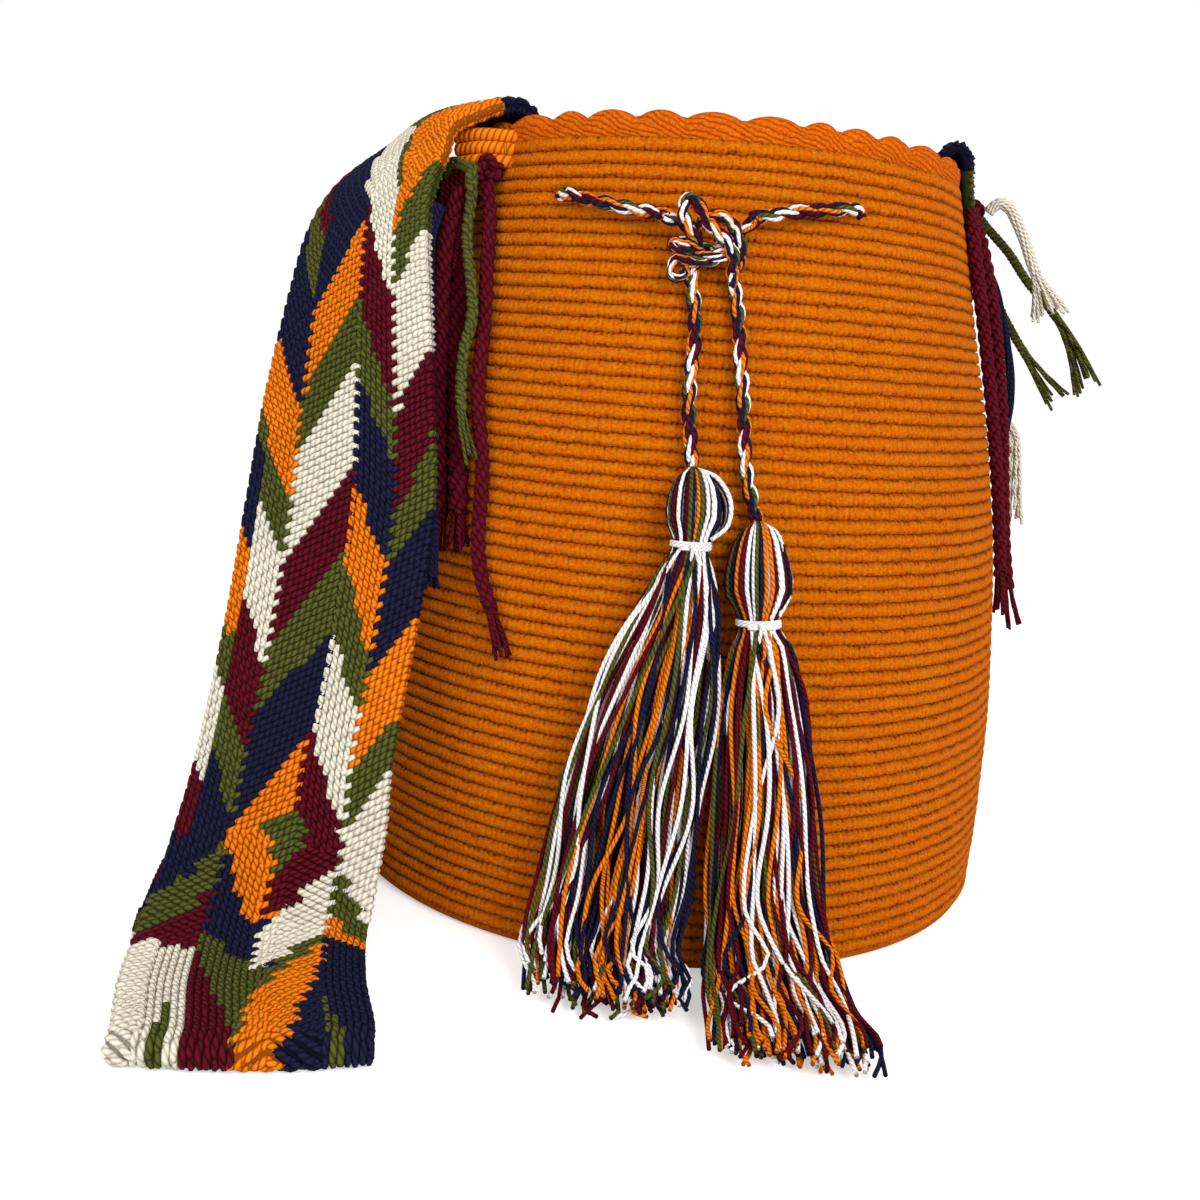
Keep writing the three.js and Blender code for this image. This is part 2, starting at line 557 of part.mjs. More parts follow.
addCord('right_braid_cream_a', [
  [92.4, 13.2, 0.957], [91.9, 15.4, 0.965], [91.5, 17.9, 0.97], [91.5, 21.2, 0.964],
  [91.4, 23.8, 0.946], [91.4, 26, 0.923], [91.3, 28.2, 0.89], [91.3, 30.5, 0.859], [91.3, 31.8, 0.839],
], braidDiameter, creamCotton);

addCord('right_braid_olive_a', [
  [97, 11.9, 0.955], [97, 15.2, 0.94], [96.5, 22.7, 0.908], [96.1, 29.2, 0.869], [95.7, 36.3, 0.838],
  [95.4, 41.5, 0.808], [95.2, 45.4, 0.775], [95.1, 47.9, 0.743], [94.9, 49.7, 0.715],
], oliveBraidDiameter, oliveCotton);

addCord('right_braid_olive_b', [
  [99.8, 7.2, 0.936], [99.7, 11.4, 0.911], [99.3, 15.2, 0.876], [99, 17.7, 0.844], [98.7, 19.6, 0.823],
  [98.2, 24.2, 0.787], [97.8, 29.4, 0.754], [97.5, 33.6, 0.729], [97.3, 37.2, 0.71],
  [97.1, 40.1, 0.694],
], oliveBraidDiameter, oliveCotton);

addCord('right_braid_cream_b', [
  [103.7, 8.2, 0.918], [103.6, 11.8, 0.879], [103, 14.9, 0.828], [102, 15.7, 0.77],
  [100.7, 16.1, 0.713], [99.5, 17.6, 0.669], [98.4, 19.7, 0.644], [98.3, 19.1, 0.606],
  [98.3, 17.6, 0.558], [98.2, 16.3, 0.495],
], braidDiameter, creamCotton);

addCord('right_strands_navy', [
  [95.3, 7.4, 0.93], [94.1, 9, 0.902], [92.9, 13.3, 0.853], [92.8, 15.2, 0.798], [92.7, 16, 0.742],
  [92.7, 15.1, 0.699], [93.1, 12.3, 0.655], [93.3, 10, 0.614],
], navyStrandDiameter, navyCotton);

export default mochila;
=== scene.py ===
import math
import random
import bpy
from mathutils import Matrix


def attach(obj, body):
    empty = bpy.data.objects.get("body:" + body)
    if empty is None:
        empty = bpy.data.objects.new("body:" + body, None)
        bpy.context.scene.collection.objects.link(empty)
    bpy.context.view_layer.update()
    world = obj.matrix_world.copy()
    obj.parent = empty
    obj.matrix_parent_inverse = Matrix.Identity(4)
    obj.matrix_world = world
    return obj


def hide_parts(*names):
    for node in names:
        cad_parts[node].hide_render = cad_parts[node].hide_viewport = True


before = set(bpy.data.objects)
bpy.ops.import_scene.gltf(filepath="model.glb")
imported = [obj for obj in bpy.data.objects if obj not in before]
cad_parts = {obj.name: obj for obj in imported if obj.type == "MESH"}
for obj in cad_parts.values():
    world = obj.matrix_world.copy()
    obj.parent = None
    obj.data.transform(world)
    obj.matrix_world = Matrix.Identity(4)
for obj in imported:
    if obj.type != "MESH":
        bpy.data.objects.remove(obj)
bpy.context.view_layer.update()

from types import SimpleNamespace

import bmesh
import bpy
import numpy as np
from mathutils import Matrix, Vector

scene = bpy.context.scene
scene.view_settings.view_transform = 'Standard'

# The photograph's camera: just above the middle of the bag, tilted down, turned and rolled a little
cameraView = dict(place=(0, -0.521, 0.2), turn=3.47, tilt=10.93, roll=4.40, lens=37.5, sensor=36)
cameraData = bpy.data.cameras.new('camera')
cameraData.lens = cameraView['lens']
cameraData.sensor_width = cameraView['sensor']
cameraData.clip_start = 0.01
camera = bpy.data.objects.new('camera', cameraData)
camera.matrix_world = (
    Matrix.Translation(cameraView['place'])
    @ Matrix.Rotation(math.radians(cameraView['turn']), 4, 'Z')
    @ Matrix.Rotation(math.radians(90 - cameraView['tilt']), 4, 'X')
    @ Matrix.Rotation(math.radians(cameraView['roll']), 4, 'Z')
)
scene.collection.objects.link(camera)
scene.camera = camera
print('camera placed')

# Lengths below are in millimetres, as in the model, and become metres when a mesh is made
millimetre = 0.001
bag = dict(height=280, radii=(131.2, 130.8, 123.8, 110.1, 93.7), ridge=0.55, groove=0.75, wall=4.4,
           rowPitch=4.47, stitchWidth=2.15, sides=24)
yarnHex = dict(orange='#d8700c', navy='#191932', burgundy='#520c19', cream='#d0cab8', olive='#4b4e20',
               white='#e9e4e4')


def linearColor(text):
    parts = [int(text[i:i + 2], 16) / 255 for i in (1, 3, 5)]
    return [c / 12.92 if c <= 0.04045 else ((c + 0.055) / 1.055) ** 2.4 for c in parts] + [1.0]


def bagRadius(height):
    place = np.clip(np.asarray(height, float) / bag['height'], 0, 1) * 4
    total = 0
    for i, radius in enumerate(bag['radii']):
        share = radius
        for j in range(5):
            if j != i:
                share = share * (place - j) / (i - j)
        total = total + share
    return total


def crestRadius(height):
    return bagRadius(height) + bag['ridge']


def innerReach(height):
    return (bagRadius(height) - bag['wall']) * math.cos(math.pi / bag['sides'])


def polar(degrees, radius, height):
    angle = np.radians(degrees)
    return np.stack(np.broadcast_arrays(radius * np.sin(angle), -radius * np.cos(angle), height), -1)


# Places are written as in the model: angle about the bag, distance off its wall, share of its height
def placed(places):
    degrees, out, share = np.asarray(places, float).T
    height = share * bag['height']
    return polar(degrees, crestRadius(height) + out, height)


# Points of a centripetal Catmull-Rom curve through the knots
def curveAt(knots, shares):
    knots = np.asarray(knots, float)
    padded = np.vstack([2 * knots[0] - knots[1], knots, 2 * knots[-1] - knots[-2]])
    place = np.clip(shares, 0, 1) * (len(knots) - 1)
    index = np.minimum(place.astype(int), len(knots) - 2)
    t = (place - index)[:, None]
    p0, p1, p2, p3 = (padded[index + k] for k in range(4))
    d0, d1, d2 = (np.sqrt(np.maximum(np.linalg.norm(b - a, axis=1), 1e-6))[:, None]
                  for a, b in ((p0, p1), (p1, p2), (p2, p3)))
    m1 = ((p1 - p0) / d0 - (p2 - p0) / (d0 + d1) + (p2 - p1) / d1) * d1
    m2 = ((p2 - p1) / d1 - (p3 - p1) / (d1 + d2) + (p3 - p2) / d2) * d1
    return p1 + m1 * t + (3 * (p2 - p1) - 2 * m1 - m2) * t ** 2 + (2 * (p1 - p2) + m1 + m2) * t ** 3


def distances(points):
    return np.concatenate([[0], np.cumsum(np.linalg.norm(np.diff(points, axis=0), axis=1))])


# The same line with its points a set distance apart
def evenly(points, step):
    along = distances(points)
    count = max(3, int(round(along[-1] / step)) + 1)
    wanted = np.linspace(0, along[-1], count)
    return np.stack([np.interp(wanted, along, points[:, k]) for k in range(3)], 1)


def smoothPath(knots, step=1.0):
    return evenly(curveAt(knots, np.linspace(0, 1, 24 * len(knots))), step)


def unit(vectors):
    return vectors / np.maximum(np.linalg.norm(vectors, axis=-1, keepdims=True), 1e-9)


# Two directions square to a line, carried along it without twisting
def framesAlong(points):
    tangents = unit(np.gradient(points, axis=0))
    side = np.cross(tangents[0], [0.3, -0.2, 0.93])
    sides = []
    for tangent in tangents:
        side = unit(side - tangent * side.dot(tangent))
        sides.append(side)
    sides = np.array(sides)
    return sides, np.cross(tangents, sides)


# Plies laid round a line: [phase, distance off the line] each, one turn in every turnLength
def twistedPlies(path, plies, turnLength):
    sides, ups = framesAlong(path)
    turn = 2 * math.pi * distances(path) / turnLength
    result = []
    for phase, offset in plies:
        angle = (turn + phase)[:, None]
        result.append(path + offset * (np.cos(angle) * sides + np.sin(angle) * ups))
    return result


def addObject(name, mesh, materials):
    for material in materials:
        mesh.materials.append(material)
    mesh.polygons.foreach_set('use_smooth', [True] * len(mesh.polygons))
    thing = bpy.data.objects.new(name, mesh)
    scene.collection.objects.link(thing)
    return thing


# A sheet of squares to be shaped, and each vertex's place in it, 0 to 1 across and along
def squareSheet(columns, rows):
    mesh = bmesh.new()
    mesh.loops.layers.uv.new('UVMap')
    bmesh.ops.create_grid(mesh, x_segments=columns, y_segments=rows, size=0.5, calc_uvs=True)
    mesh.verts.ensure_lookup_table()
    across, along = (np.array([vertex.co[axis] for vertex in mesh.verts]) + 0.5 for axis in (0, 1))
    return mesh, mesh.loops.layers.uv.active, across, along


def moveVertices(mesh, points):
    for vertex, point in zip(mesh.verts, points * millimetre):
        vertex.co = point


# Welds the sheet's edges where they meet, closes its open ends and makes it an object
def closedSheet(name, mesh, weld, materials):
    bmesh.ops.remove_doubles(mesh, verts=mesh.verts, dist=weld)
    openEdges = [edge for edge in mesh.edges if edge.is_boundary]
    if openEdges:
        bmesh.ops.holes_fill(mesh, edges=openEdges, sides=0)
    bmesh.ops.recalc_face_normals(mesh, faces=mesh.faces)
    data = bpy.data.meshes.new(name)
    mesh.to_mesh(data)
    mesh.free()
    return addObject(name, data, materials)


# Yarns as closed tubes of one mesh. Each strand is (points, radius or radii, material number).
# The UV map runs once round the yarn, and in millimetres along it
def yarnPiece(name, strands, materials, sides=6):
    curve = bpy.data.curves.new(name + '_line', 'CURVE')
    curve.dimensions = '3D'
    curve.bevel_depth = millimetre
    curve.bevel_resolution = (sides - 4) // 2
    curve.use_fill_caps = True
    for material in materials:
        curve.materials.append(material)
    for points, radius, number in strands:
        spline = curve.splines.new('POLY')
        spline.points.add(len(points) - 1)
        flat = np.concatenate([points * millimetre, np.ones((len(points), 1))], 1)
        spline.points.foreach_set('co', flat.ravel())
        spline.points.foreach_set('radius', np.broadcast_to(radius, len(points)).astype(float))
        spline.material_index = number
    line = bpy.data.objects.new(name + '_line', curve)
    scene.collection.objects.link(line)
    mesh = bpy.data.meshes.new_from_object(line.evaluated_get(bpy.context.evaluated_depsgraph_get()))
    bpy.data.objects.remove(line)
    bpy.data.curves.remove(curve)
    mesh.name = name
    # the two caps come before each strand's rings, with points of their own, which are welded to them here
    ends = np.cumsum([0] + [(len(points) + 2) * sides for points, _, _ in strands])
    loopVertex = np.zeros(len(mesh.loops), int)
    mesh.loops.foreach_get('vertex_index', loopVertex)
    strandOf = np.clip(np.searchsorted(ends, loopVertex, side='right') - 1, 0, len(strands) - 1)
    lengths = np.array([distances(points)[-1] for points, _, _ in strands])
    layer = mesh.uv_layers[0]
    uv = np.zeros(2 * len(mesh.loops))
    layer.uv.foreach_get('vector', uv)
    uv = uv.reshape(-1, 2)
    layer.uv.foreach_set('vector', np.column_stack([uv[:, 1], uv[:, 0] * lengths[strandOf]]).ravel())
    welder = bmesh.new()
    welder.from_mesh(mesh)
    bmesh.ops.remove_doubles(welder, verts=welder.verts, dist=1e-7)
    welder.to_mesh(mesh)
    welder.free()
    return addObject(name, mesh, [])


def hangOn(piece, slot, *nodes):
    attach(piece, 'root')
    if nodes:
        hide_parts(*nodes)
    return piece


# Materials: helpers that add nodes, and small sums built from them
def clearTree(owner):
    owner.use_nodes = True
    owner.node_tree.nodes.clear()
    return owner.node_tree


def feed(tree, socket, value):
    if isinstance(value, bpy.types.NodeSocket):
        tree.links.new(value, socket)
    else:
        socket.default_value = value


# Inputs go by name, with _ for a space, or by number as i0, i1 and i2
def addNode(tree, kind, settings=(), **inputs):
    node = tree.nodes.new('ShaderNode' + kind)
    for key, value in dict(settings).items():
        setattr(node, key, value)
    for key, value in inputs.items():
        numbered = key[0] == 'i' and key[1:].isdigit()
        feed(tree, node.inputs[int(key[1:]) if numbered else key.replace('_', ' ')], value)
    return node


def sums(tree):
    def sumOf(operation):
        def run(a, b=0.0, c=0.0):
            return addNode(tree, 'Math', dict(operation=operation), i0=a, i1=b, i2=c).outputs[0]
        return run

    def mix(share, first, second, blend='MIX'):
        node = addNode(tree, 'Mix', dict(data_type='RGBA', blend_type=blend))
        for number, value in ((0, share), (6, first), (7, second)):
            feed(tree, node.inputs[number], linearColor(value) if isinstance(value, str) else value)
        return node.outputs[2]

    def shaded(color, value):
        grey = addNode(tree, 'CombineColor', i0=value, i1=value, i2=value).outputs[0]
        return mix(1.0, color, grey, 'MULTIPLY')

    def clamp(value):
        return addNode(tree, 'Clamp', Value=value).outputs[0]

    def position():
        return addNode(tree, 'TexCoord').outputs['Object']

    def noise(scale, detail=3.0, roughness=0.5, output=0):
        return addNode(tree, 'TexNoise', Vector=position(), Scale=scale, Detail=detail,
                       Roughness=roughness).outputs[output]

    # the two numbers of the UV map, moved a little by noise where a shift is given
    def place(scale=0.0, detail=0.0, shift=None):
        uv = addNode(tree, 'UVMap', dict(uv_map='UVMap')).outputs[0]
        if shift:
            uv = addNode(tree, 'VectorMath', dict(operation='MULTIPLY_ADD'),
                         i0=noise(scale, detail, output='Color'), i1=shift, i2=uv).outputs[0]
        return addNode(tree, 'SeparateXYZ', Vector=uv).outputs[:2]
    names = dict(subtract='SUBTRACT', multiply='MULTIPLY', divide='DIVIDE', power='POWER', fract='FRACT',
                 sine='SINE', absolute='ABSOLUTE', maximum='MAXIMUM', minimum='MINIMUM',
                 multiplyAdd='MULTIPLY_ADD')
    return SimpleNamespace(tree=tree, mix=mix, shaded=shaded, clamp=clamp, position=position, noise=noise,
                           place=place, **{name: sumOf(operation) for name, operation in names.items()})


# A cotton surface: its look gives the colour and the height of the relief
def cottonMaterial(name, look, roughness, bump):
    material = bpy.data.materials.new(name)
    tree = clearTree(material)
    color, height = look(sums(tree))
    relief = addNode(tree, 'Bump', Strength=1.0, Distance=bump, Height=height).outputs[0]
    shader = addNode(tree, 'BsdfPrincipled', Base_Color=color, Roughness=roughness, Specular_IOR_Level=0.06,
                     Normal=relief)
    addNode(tree, 'OutputMaterial', i0=shader.outputs[0])
    return material


# Spun cotton yarn of two plies: fine slanting lines round the strand, with painted shade between the plies, and a
# little fuzz
def yarnLook(m, color, plyShade, plyLength=2.1, fuzz=0.35):
    around, along = m.place()
    turn = m.multiplyAdd(around, 2.0, m.divide(along, plyLength))
    wave = m.absolute(m.sine(m.multiply(turn, math.pi)))
    grain = m.noise(1800.0, 2.0)
    patch = m.noise(90.0, 2.0)
    base = linearColor(color)
    # painted shade between the plies: the yarn's own colour darkened where the ply wave is low
    plyShadeColor = [c * plyShade for c in base[:3]] + [1.0]
    lit = m.minimum(m.multiply(m.power(wave, 0.9), 1.25), 1.0)
    shade = m.multiply(m.multiplyAdd(patch, 0.4, 0.86), m.multiplyAdd(grain, fuzz, 1.06 - fuzz / 2))
    return m.shaded(m.mix(lit, plyShadeColor, base), shade), m.multiplyAdd(grain, 0.25, wave)


def yarnMaterial(name):
    # how dark the painted shade between a yarn's plies is, next to its own colour
    plyShade = 0.66 if name in ('cream', 'white') else 0.26
    return cottonMaterial(name + ' cotton yarn, two plies', lambda m: yarnLook(m, yarnHex[name], plyShade),
                          roughness=0.9, bump=0.0004)


yarnOrder = ['cream', 'burgundy', 'navy', 'orange', 'olive', 'white']
yarnList = [yarnMaterial(name) for name in yarnOrder]


# The cords: drawstring, its knot and its two tails.
# Two bundles of yarns laid round each other, each bundle's own yarns twisted tightly
cordBundles = [['white', 'navy', 'orange', 'navy', 'burgundy'], ['white', 'olive', 'navy', 'burgundy', 'orange']]


def twoBundles(path, radius, turnLength, phase=0.0):
    bundleRadius = radius * 0.6
    strands = []
    centres = twistedPlies(path, [(phase, radius - bundleRadius), (phase + math.pi, radius - bundleRadius)],
                           turnLength)
    for centre, colors in zip(centres, cordBundles):
        yarnRadius = bundleRadius * 0.5
        plies = [(2 * math.pi * k / len(colors), bundleRadius - yarnRadius) for k in range(len(colors))]
        for line, color in zip(twistedPlies(centre, plies, -turnLength * 1.9), colors):
            strands.append((line, yarnRadius, yarnOrder.index(color)))
    return strands


drawstring = dict(
    # the yarns stand a little outside the solid cord; a turn of its bundles takes turnLength
    diameter=4.2, laidRadius=2.5, tailRadius=2.55, tailDiameter=4.6, turnLength=14.5,
    eyelets=(31, 150), eyeletShare=0.9035, passing=4.5, gap=0.3, looseInside=0.7, looseOutside=0.4,
    toLeft=[(-5.8, 8.4, 0.876), (-9.1, 5.6, 0.881), (-12.5, 4.2, 0.884), (-17.1, 3.8, 0.889),
            (-21.8, 4, 0.894), (-26.2, 3.6, 0.9)],
    fromRight=[(26.2, 3.9, 0.905), (21.8, 4.5, 0.901), (17.1, 4.3, 0.896), (13.1, 4.8, 0.891),
               (10.2, 6.1, 0.886), (7.1, 8.6, 0.881)],
    tailLeft=[(-2.1, 4.2, 0.812), (-1.3, 2.9, 0.789), (-0.7, 3.5, 0.764), (-0.5, 3.6, 0.736),
              (-0.6, 3.6, 0.704), (-0.5, 3.7, 0.671), (0, 3.8, 0.643), (0.5, 4, 0.618), (0.8, 5.3, 0.599)],
    tailRight=[(4.6, 4.7, 0.818), (5.7, 3.2, 0.791), (6.4, 3.5, 0.761), (6.9, 3.8, 0.729),
               (7.5, 4, 0.693), (8, 4, 0.657), (8.5, 4, 0.621), (9.1, 4.1, 0.589), (10.1, 4.2, 0.564),
               (10.7, 5.4, 0.544)],
)


def threadedRoute():
    share = drawstring['eyeletShare']
    height = share * bag['height']
    radius = drawstring['diameter'] / 2
    gap = drawstring['gap']
    inside = innerReach(height) - crestRadius(height) - gap - radius - drawstring['looseInside']
    outside = gap + radius + drawstring['looseOutside']
    front, back = drawstring['eyelets']
    passing = drawstring['passing']

    def arc(start, end, standOff):
        count = max(2, round(abs(end - start) / 9))
        return [(start + (end - start) * i / count, standOff, share) for i in range(count + 1)]
    return (drawstring['toLeft'] + arc(-front - passing, -back + passing, inside)
            + arc(-back - passing, back - 360 + passing, outside)
            + arc(back - 360 - passing, front - 360 + passing, inside) + drawstring['fromRight'])


cordTurn = drawstring['turnLength']
threaded = smoothPath(placed(threadedRoute()), 1.6)
drawstringPiece = yarnPiece('drawstring_twist', twoBundles(threaded, drawstring['laidRadius'], cordTurn),
                            yarnList)
hangOn(drawstringPiece, 'mixed_cotton', 'drawstring_cord')

# The knot, tied tight: each line is x right, y towards the viewer and z up, in mm from its centre
knotCentre = placed([(0.5, 7.2, 0.859)])[0]
knotLines = dict(
    leftEnd=(2.4, [(-15.2, 0.5, 4.4), (-11.2, 0, 3.7), (-7.6, -1.5, 2.6), (-3.3, -2.5, 0.9)]),
    ear=(2.4, [(-1.8, -2, -3.8), (-4.8, 1, -0.9), (-7.6, 2.5, 2.3), (-9.0, 3, 6.6), (-8.1, 3, 9.7),
               (-5.5, 3, 10.2), (-3.9, 3.5, 7.6), (-1.1, 4, 4.0), (2.4, 4.5, 0.6), (5.8, 3.5, -2.6),
               (8.0, 2, -6.5), (8.2, 0.6, -11.1), (8.9, 0.2, -15)]),
    shoulder=(2.2, [(-3.8, -2, -1.2), (-3.7, 0, 2.2), (-1.9, 2.5, 5.0), (1.5, 3.5, 5.9), (5.1, 3, 4.8),
                    (7.6, 2, 2.2), (9.4, 2, -1.0), (10.2, 1, -4.5), (9.6, -0.6, -8.0), (8.4, -1.6, -11)]),
    rightEnd=(2.4, [(14.3, 0.5, 5.6), (11.7, 0.5, 3.6), (8.3, 0, 0.6), (5.7, -1.5, -0.9), (2.3, -2.5, -2.2)]),
    bandAbove=(1.8, [(3.1, -2, -3.5), (5.7, 0.5, -4.6), (2.6, 2.5, -5.7), (-2.2, 3.2, -6.9), (-6.8, 3, -6.2),
                     (-10.8, 2, -4.9), (-11.9, 0.5, -3.8), (-10.7, 1.5, -2.4), (-7.1, 2, -2.8), (-3.5, 1, -3.9),
                     (-0.4, -2, -3.7)]),
    bandBelow=(1.7, [(1.0, -2, -3.6), (5.4, 1, -6.0), (2.1, 2.5, -7.9), (-2.7, 2.8, -9.2), (-7.0, 2.2, -8.6),
                     (-9.9, 1.5, -8.2), (-11.5, 1.5, -10.4), (-11.1, 2, -13.2), (-8.5, 2, -14.1),
                     (-6.3, 2.2, -12.2), (-7.5, 2.5, -10.9)]),
    leftTop=(2.4, [(-1.7, -2, -5.1), (-3.2, 0, -8.6), (-4.6, 0.6, -12.0), (-5.2, 0, -15)]),
)
knotStrands = []
for number, (radius, offsets) in enumerate(knotLines.values()):
    line = smoothPath(knotCentre + np.array(offsets) * [1, -1, 1], 0.9)
    knotStrands += twoBundles(line, radius, cordTurn * 0.8, phase=number * 1.3)
knotPiece = yarnPiece('drawstring_knot_tied', knotStrands, yarnList)
hangOn(knotPiece, 'mixed_cotton', 'drawstring_knot')

for side, key in (('left', 'tailLeft'), ('right', 'tailRight')):
    path = smoothPath(placed(drawstring[key]), 1.1)
    strands = twoBundles(path, drawstring['tailRadius'], cordTurn, phase=1.0 if side == 'left' else 2.2)
    tail = yarnPiece('drawstring_tail_twist_' + side, strands, yarnList)
    hangOn(tail, 'mixed_cotton', 'drawstring_tail_' + side)
print('drawstring made')

# Tassels: rows of centre place, half width and half depth, as in the model
tassels = dict(
    left=dict(rows=[
        (1, 6.1, 0.597, 2.6, 2.6), (1.2, 8.2, 0.586, 6.6, 6.2), (1.5, 9.9, 0.564, 9, 8.6),
        (1.6, 10.4, 0.541, 8.8, 8.4), (1.5, 10.5, 0.526, 6.2, 6.2), (1.5, 10.1, 0.51, 6.2, 6.2),
        (1.3, 11.2, 0.493, 8.4, 7.6), (0.8, 11.7, 0.45, 13, 9), (-1.2, 11.4, 0.35, 20, 9),
        (-3.2, 11.3, 0.236, 24, 9), (-4.4, 11.6, 0.129, 25.5, 9.2), (-4.8, 17.5, 0.054, 27, 8.6),
        (-3.8, 26.4, 0.031, 26.5, 6.6), (-3.1, 35.3, 0.023, 25.5, 5), (-2.6, 41.3, 0.019, 24.5, 3.2)],
        yarns=['white', 'burgundy', 'navy', 'olive', 'navy', 'orange', 'burgundy', 'white', 'olive', 'orange'],
        seed=11, shorterLeft=0.13, loops=5, loopSide=1),
    right=dict(rows=[
        (10.7, 6.4, 0.542, 2.8, 2.8), (10.7, 8.5, 0.531, 7, 6.6), (10.7, 10.3, 0.504, 10, 9.2),
        (11, 10.9, 0.47, 11, 9.6), (11.1, 11.1, 0.446, 6.8, 6.8), (11.2, 10.9, 0.429, 6.8, 6.8),
        (11.6, 12.2, 0.412, 9.6, 8.2), (12.2, 12.8, 0.35, 14, 9), (13.6, 13.1, 0.236, 17, 9.2),
        (14.7, 13.6, 0.118, 20, 9.2), (15.4, 20.4, 0.054, 23, 8.4), (15.3, 32.9, 0.031, 24, 6.8),
        (14.7, 51.1, 0.024, 26.5, 5.2), (13.7, 65.7, 0.019, 25, 3.2)],
        yarns=['white', 'orange', 'navy', 'olive', 'burgundy', 'orange', 'navy', 'white', 'burgundy', 'orange'],
        seed=23, shorterLeft=0.02, loops=2, loopSide=-0.6),
)
neckRow = 4
strandRadius = 0.72
strandCount = 165
goldenTurn = 0.381966
lazyShare = 0.22
wobbles = dict(lazy=0.26, straight=0.11)


def tasselPiece(side, facts):
    rng = random.Random(facts['seed'])
    rows = np.array(facts['rows'], float)
    centres = placed(rows[:, :3])
    along = unit(np.gradient(centres, axis=0))
    across = unit(np.array([1.0, 0, 0]) - along * along[:, :1])
    front = np.cross(along, across)
    strands = []
    for number in range(strandCount):
        angle = 2 * math.pi * (number * goldenTurn + rng.uniform(-0.02, 0.02))
        reach = math.sqrt((number + 0.5) / strandCount) ** 0.75
        drift = rng.gauss(0, 0.75)
        wobble = wobbles['lazy' if rng.random() < lazyShare else 'straight']
        knots = []
        for i, (centre, row) in enumerate(zip(centres, rows)):
            loose = max(0.0, (i - neckRow - 1) / (len(rows) - neckRow - 2))
            turn = angle + drift * loose + rng.gauss(0, wobble) * min(1, loose * 4)
            spread = reach if i not in (neckRow, neckRow + 1) else reach * 0.96
            spread *= 1 + rng.gauss(0, 0.06) * min(1, loose * 4)
            spread = min(spread, 1.03)
            knots.append(centre + across[i] * max(0.5, row[3] - strandRadius) * spread * math.cos(turn)
                         + front[i] * max(0.5, row[4] - strandRadius) * spread * math.sin(turn))
        leftness = 0.5 - 0.5 * math.cos(angle)
        ending = rng.uniform(0.93, 1.0) - facts['shorterLeft'] * leftness
        full = curveAt(knots, np.linspace(0, 1, 220))
        full = full[:int(len(full) * ending)]
        step = np.linspace(0, 1, len(full))
        ripple = 0.5 * np.clip(step * 3 - 0.9, 0, 1)
        full = full + (ripple * np.sin(step * rng.uniform(28, 46) + angle * 5))[:, None] * across[8]
        full[:, 2] = np.maximum(full[:, 2], strandRadius + 0.15)
        color = facts['yarns'][number % 10] if rng.random() < 0.7 else rng.choice(facts['yarns'])
        strands.append((evenly(full, 5.0), strandRadius, yarnOrder.index(color)))
    # a few yarns bulge out of the head as loops
    loopYarns = ['white', 'burgundy', 'white', 'olive', 'navy']
    for k, color in enumerate(loopYarns[:facts['loops']]):
        bulge = np.array([0.2, 1.2, 2.6, 2.2, 0.3]) * (1 - 0.16 * k)
        depth = 2.5 - 1.4 * k
        loop = [centres[i] + across[i] * (rows[i][3] - 0.5 + bulge[i] * facts['loopSide'])
                + front[i] * depth * (1 if i else 0.3) for i in range(neckRow + 1)]
        strands.append((smoothPath(loop, 1.2), strandRadius, yarnOrder.index(color)))
    return yarnPiece('tassel_strands_' + side, strands, yarnList)


# The neck's thread: two turns of white yarn, knotted at the front with short ends
def bindingPiece(side, rows):
    upper, lower = placed([rows[neckRow][:3], rows[neckRow + 1][:3]])
    axis = unit(lower - upper)
    first = unit(np.cross(axis, [0.2, 1, 0.1]))
    second = np.cross(axis, first)
    radius = rows[neckRow][3] - 0.1
    angles = np.linspace(0, 2 * math.pi * 2.3, 100)[:, None]
    rise = (angles / angles[-1] - 0.5) * 2.0
    middle = (upper + lower) / 2
    line = middle + radius * (np.cos(angles) * first + np.sin(angles) * second) + rise * axis
    white = yarnOrder.index('white')
    strands = [(line, 0.62, white)]
    knot = middle + np.array([1.0, -radius - 0.9, 0.2])
    for dx, dz in ((2.6, -10), (-0.8, -7)):
        end = knot + [dx, 0.4, dz]
        start = knot + [1.3 if dx < 0 else -1.3, 0.5, 0.7]
        strands.append((smoothPath([start, knot, (knot + end) / 2 + [dx * 0.2, -0.3, 0.6], end], 0.9), 0.6, white))
    return yarnPiece('tassel_wound_thread_' + side, strands, yarnList)


for side, facts in tassels.items():
    hangOn(tasselPiece(side, facts), 'mixed_cotton', 'tassel_' + side)
    hangOn(bindingPiece(side, facts['rows']), 'cream_cotton', 'tassel_binding_' + side)
print('tassels made')

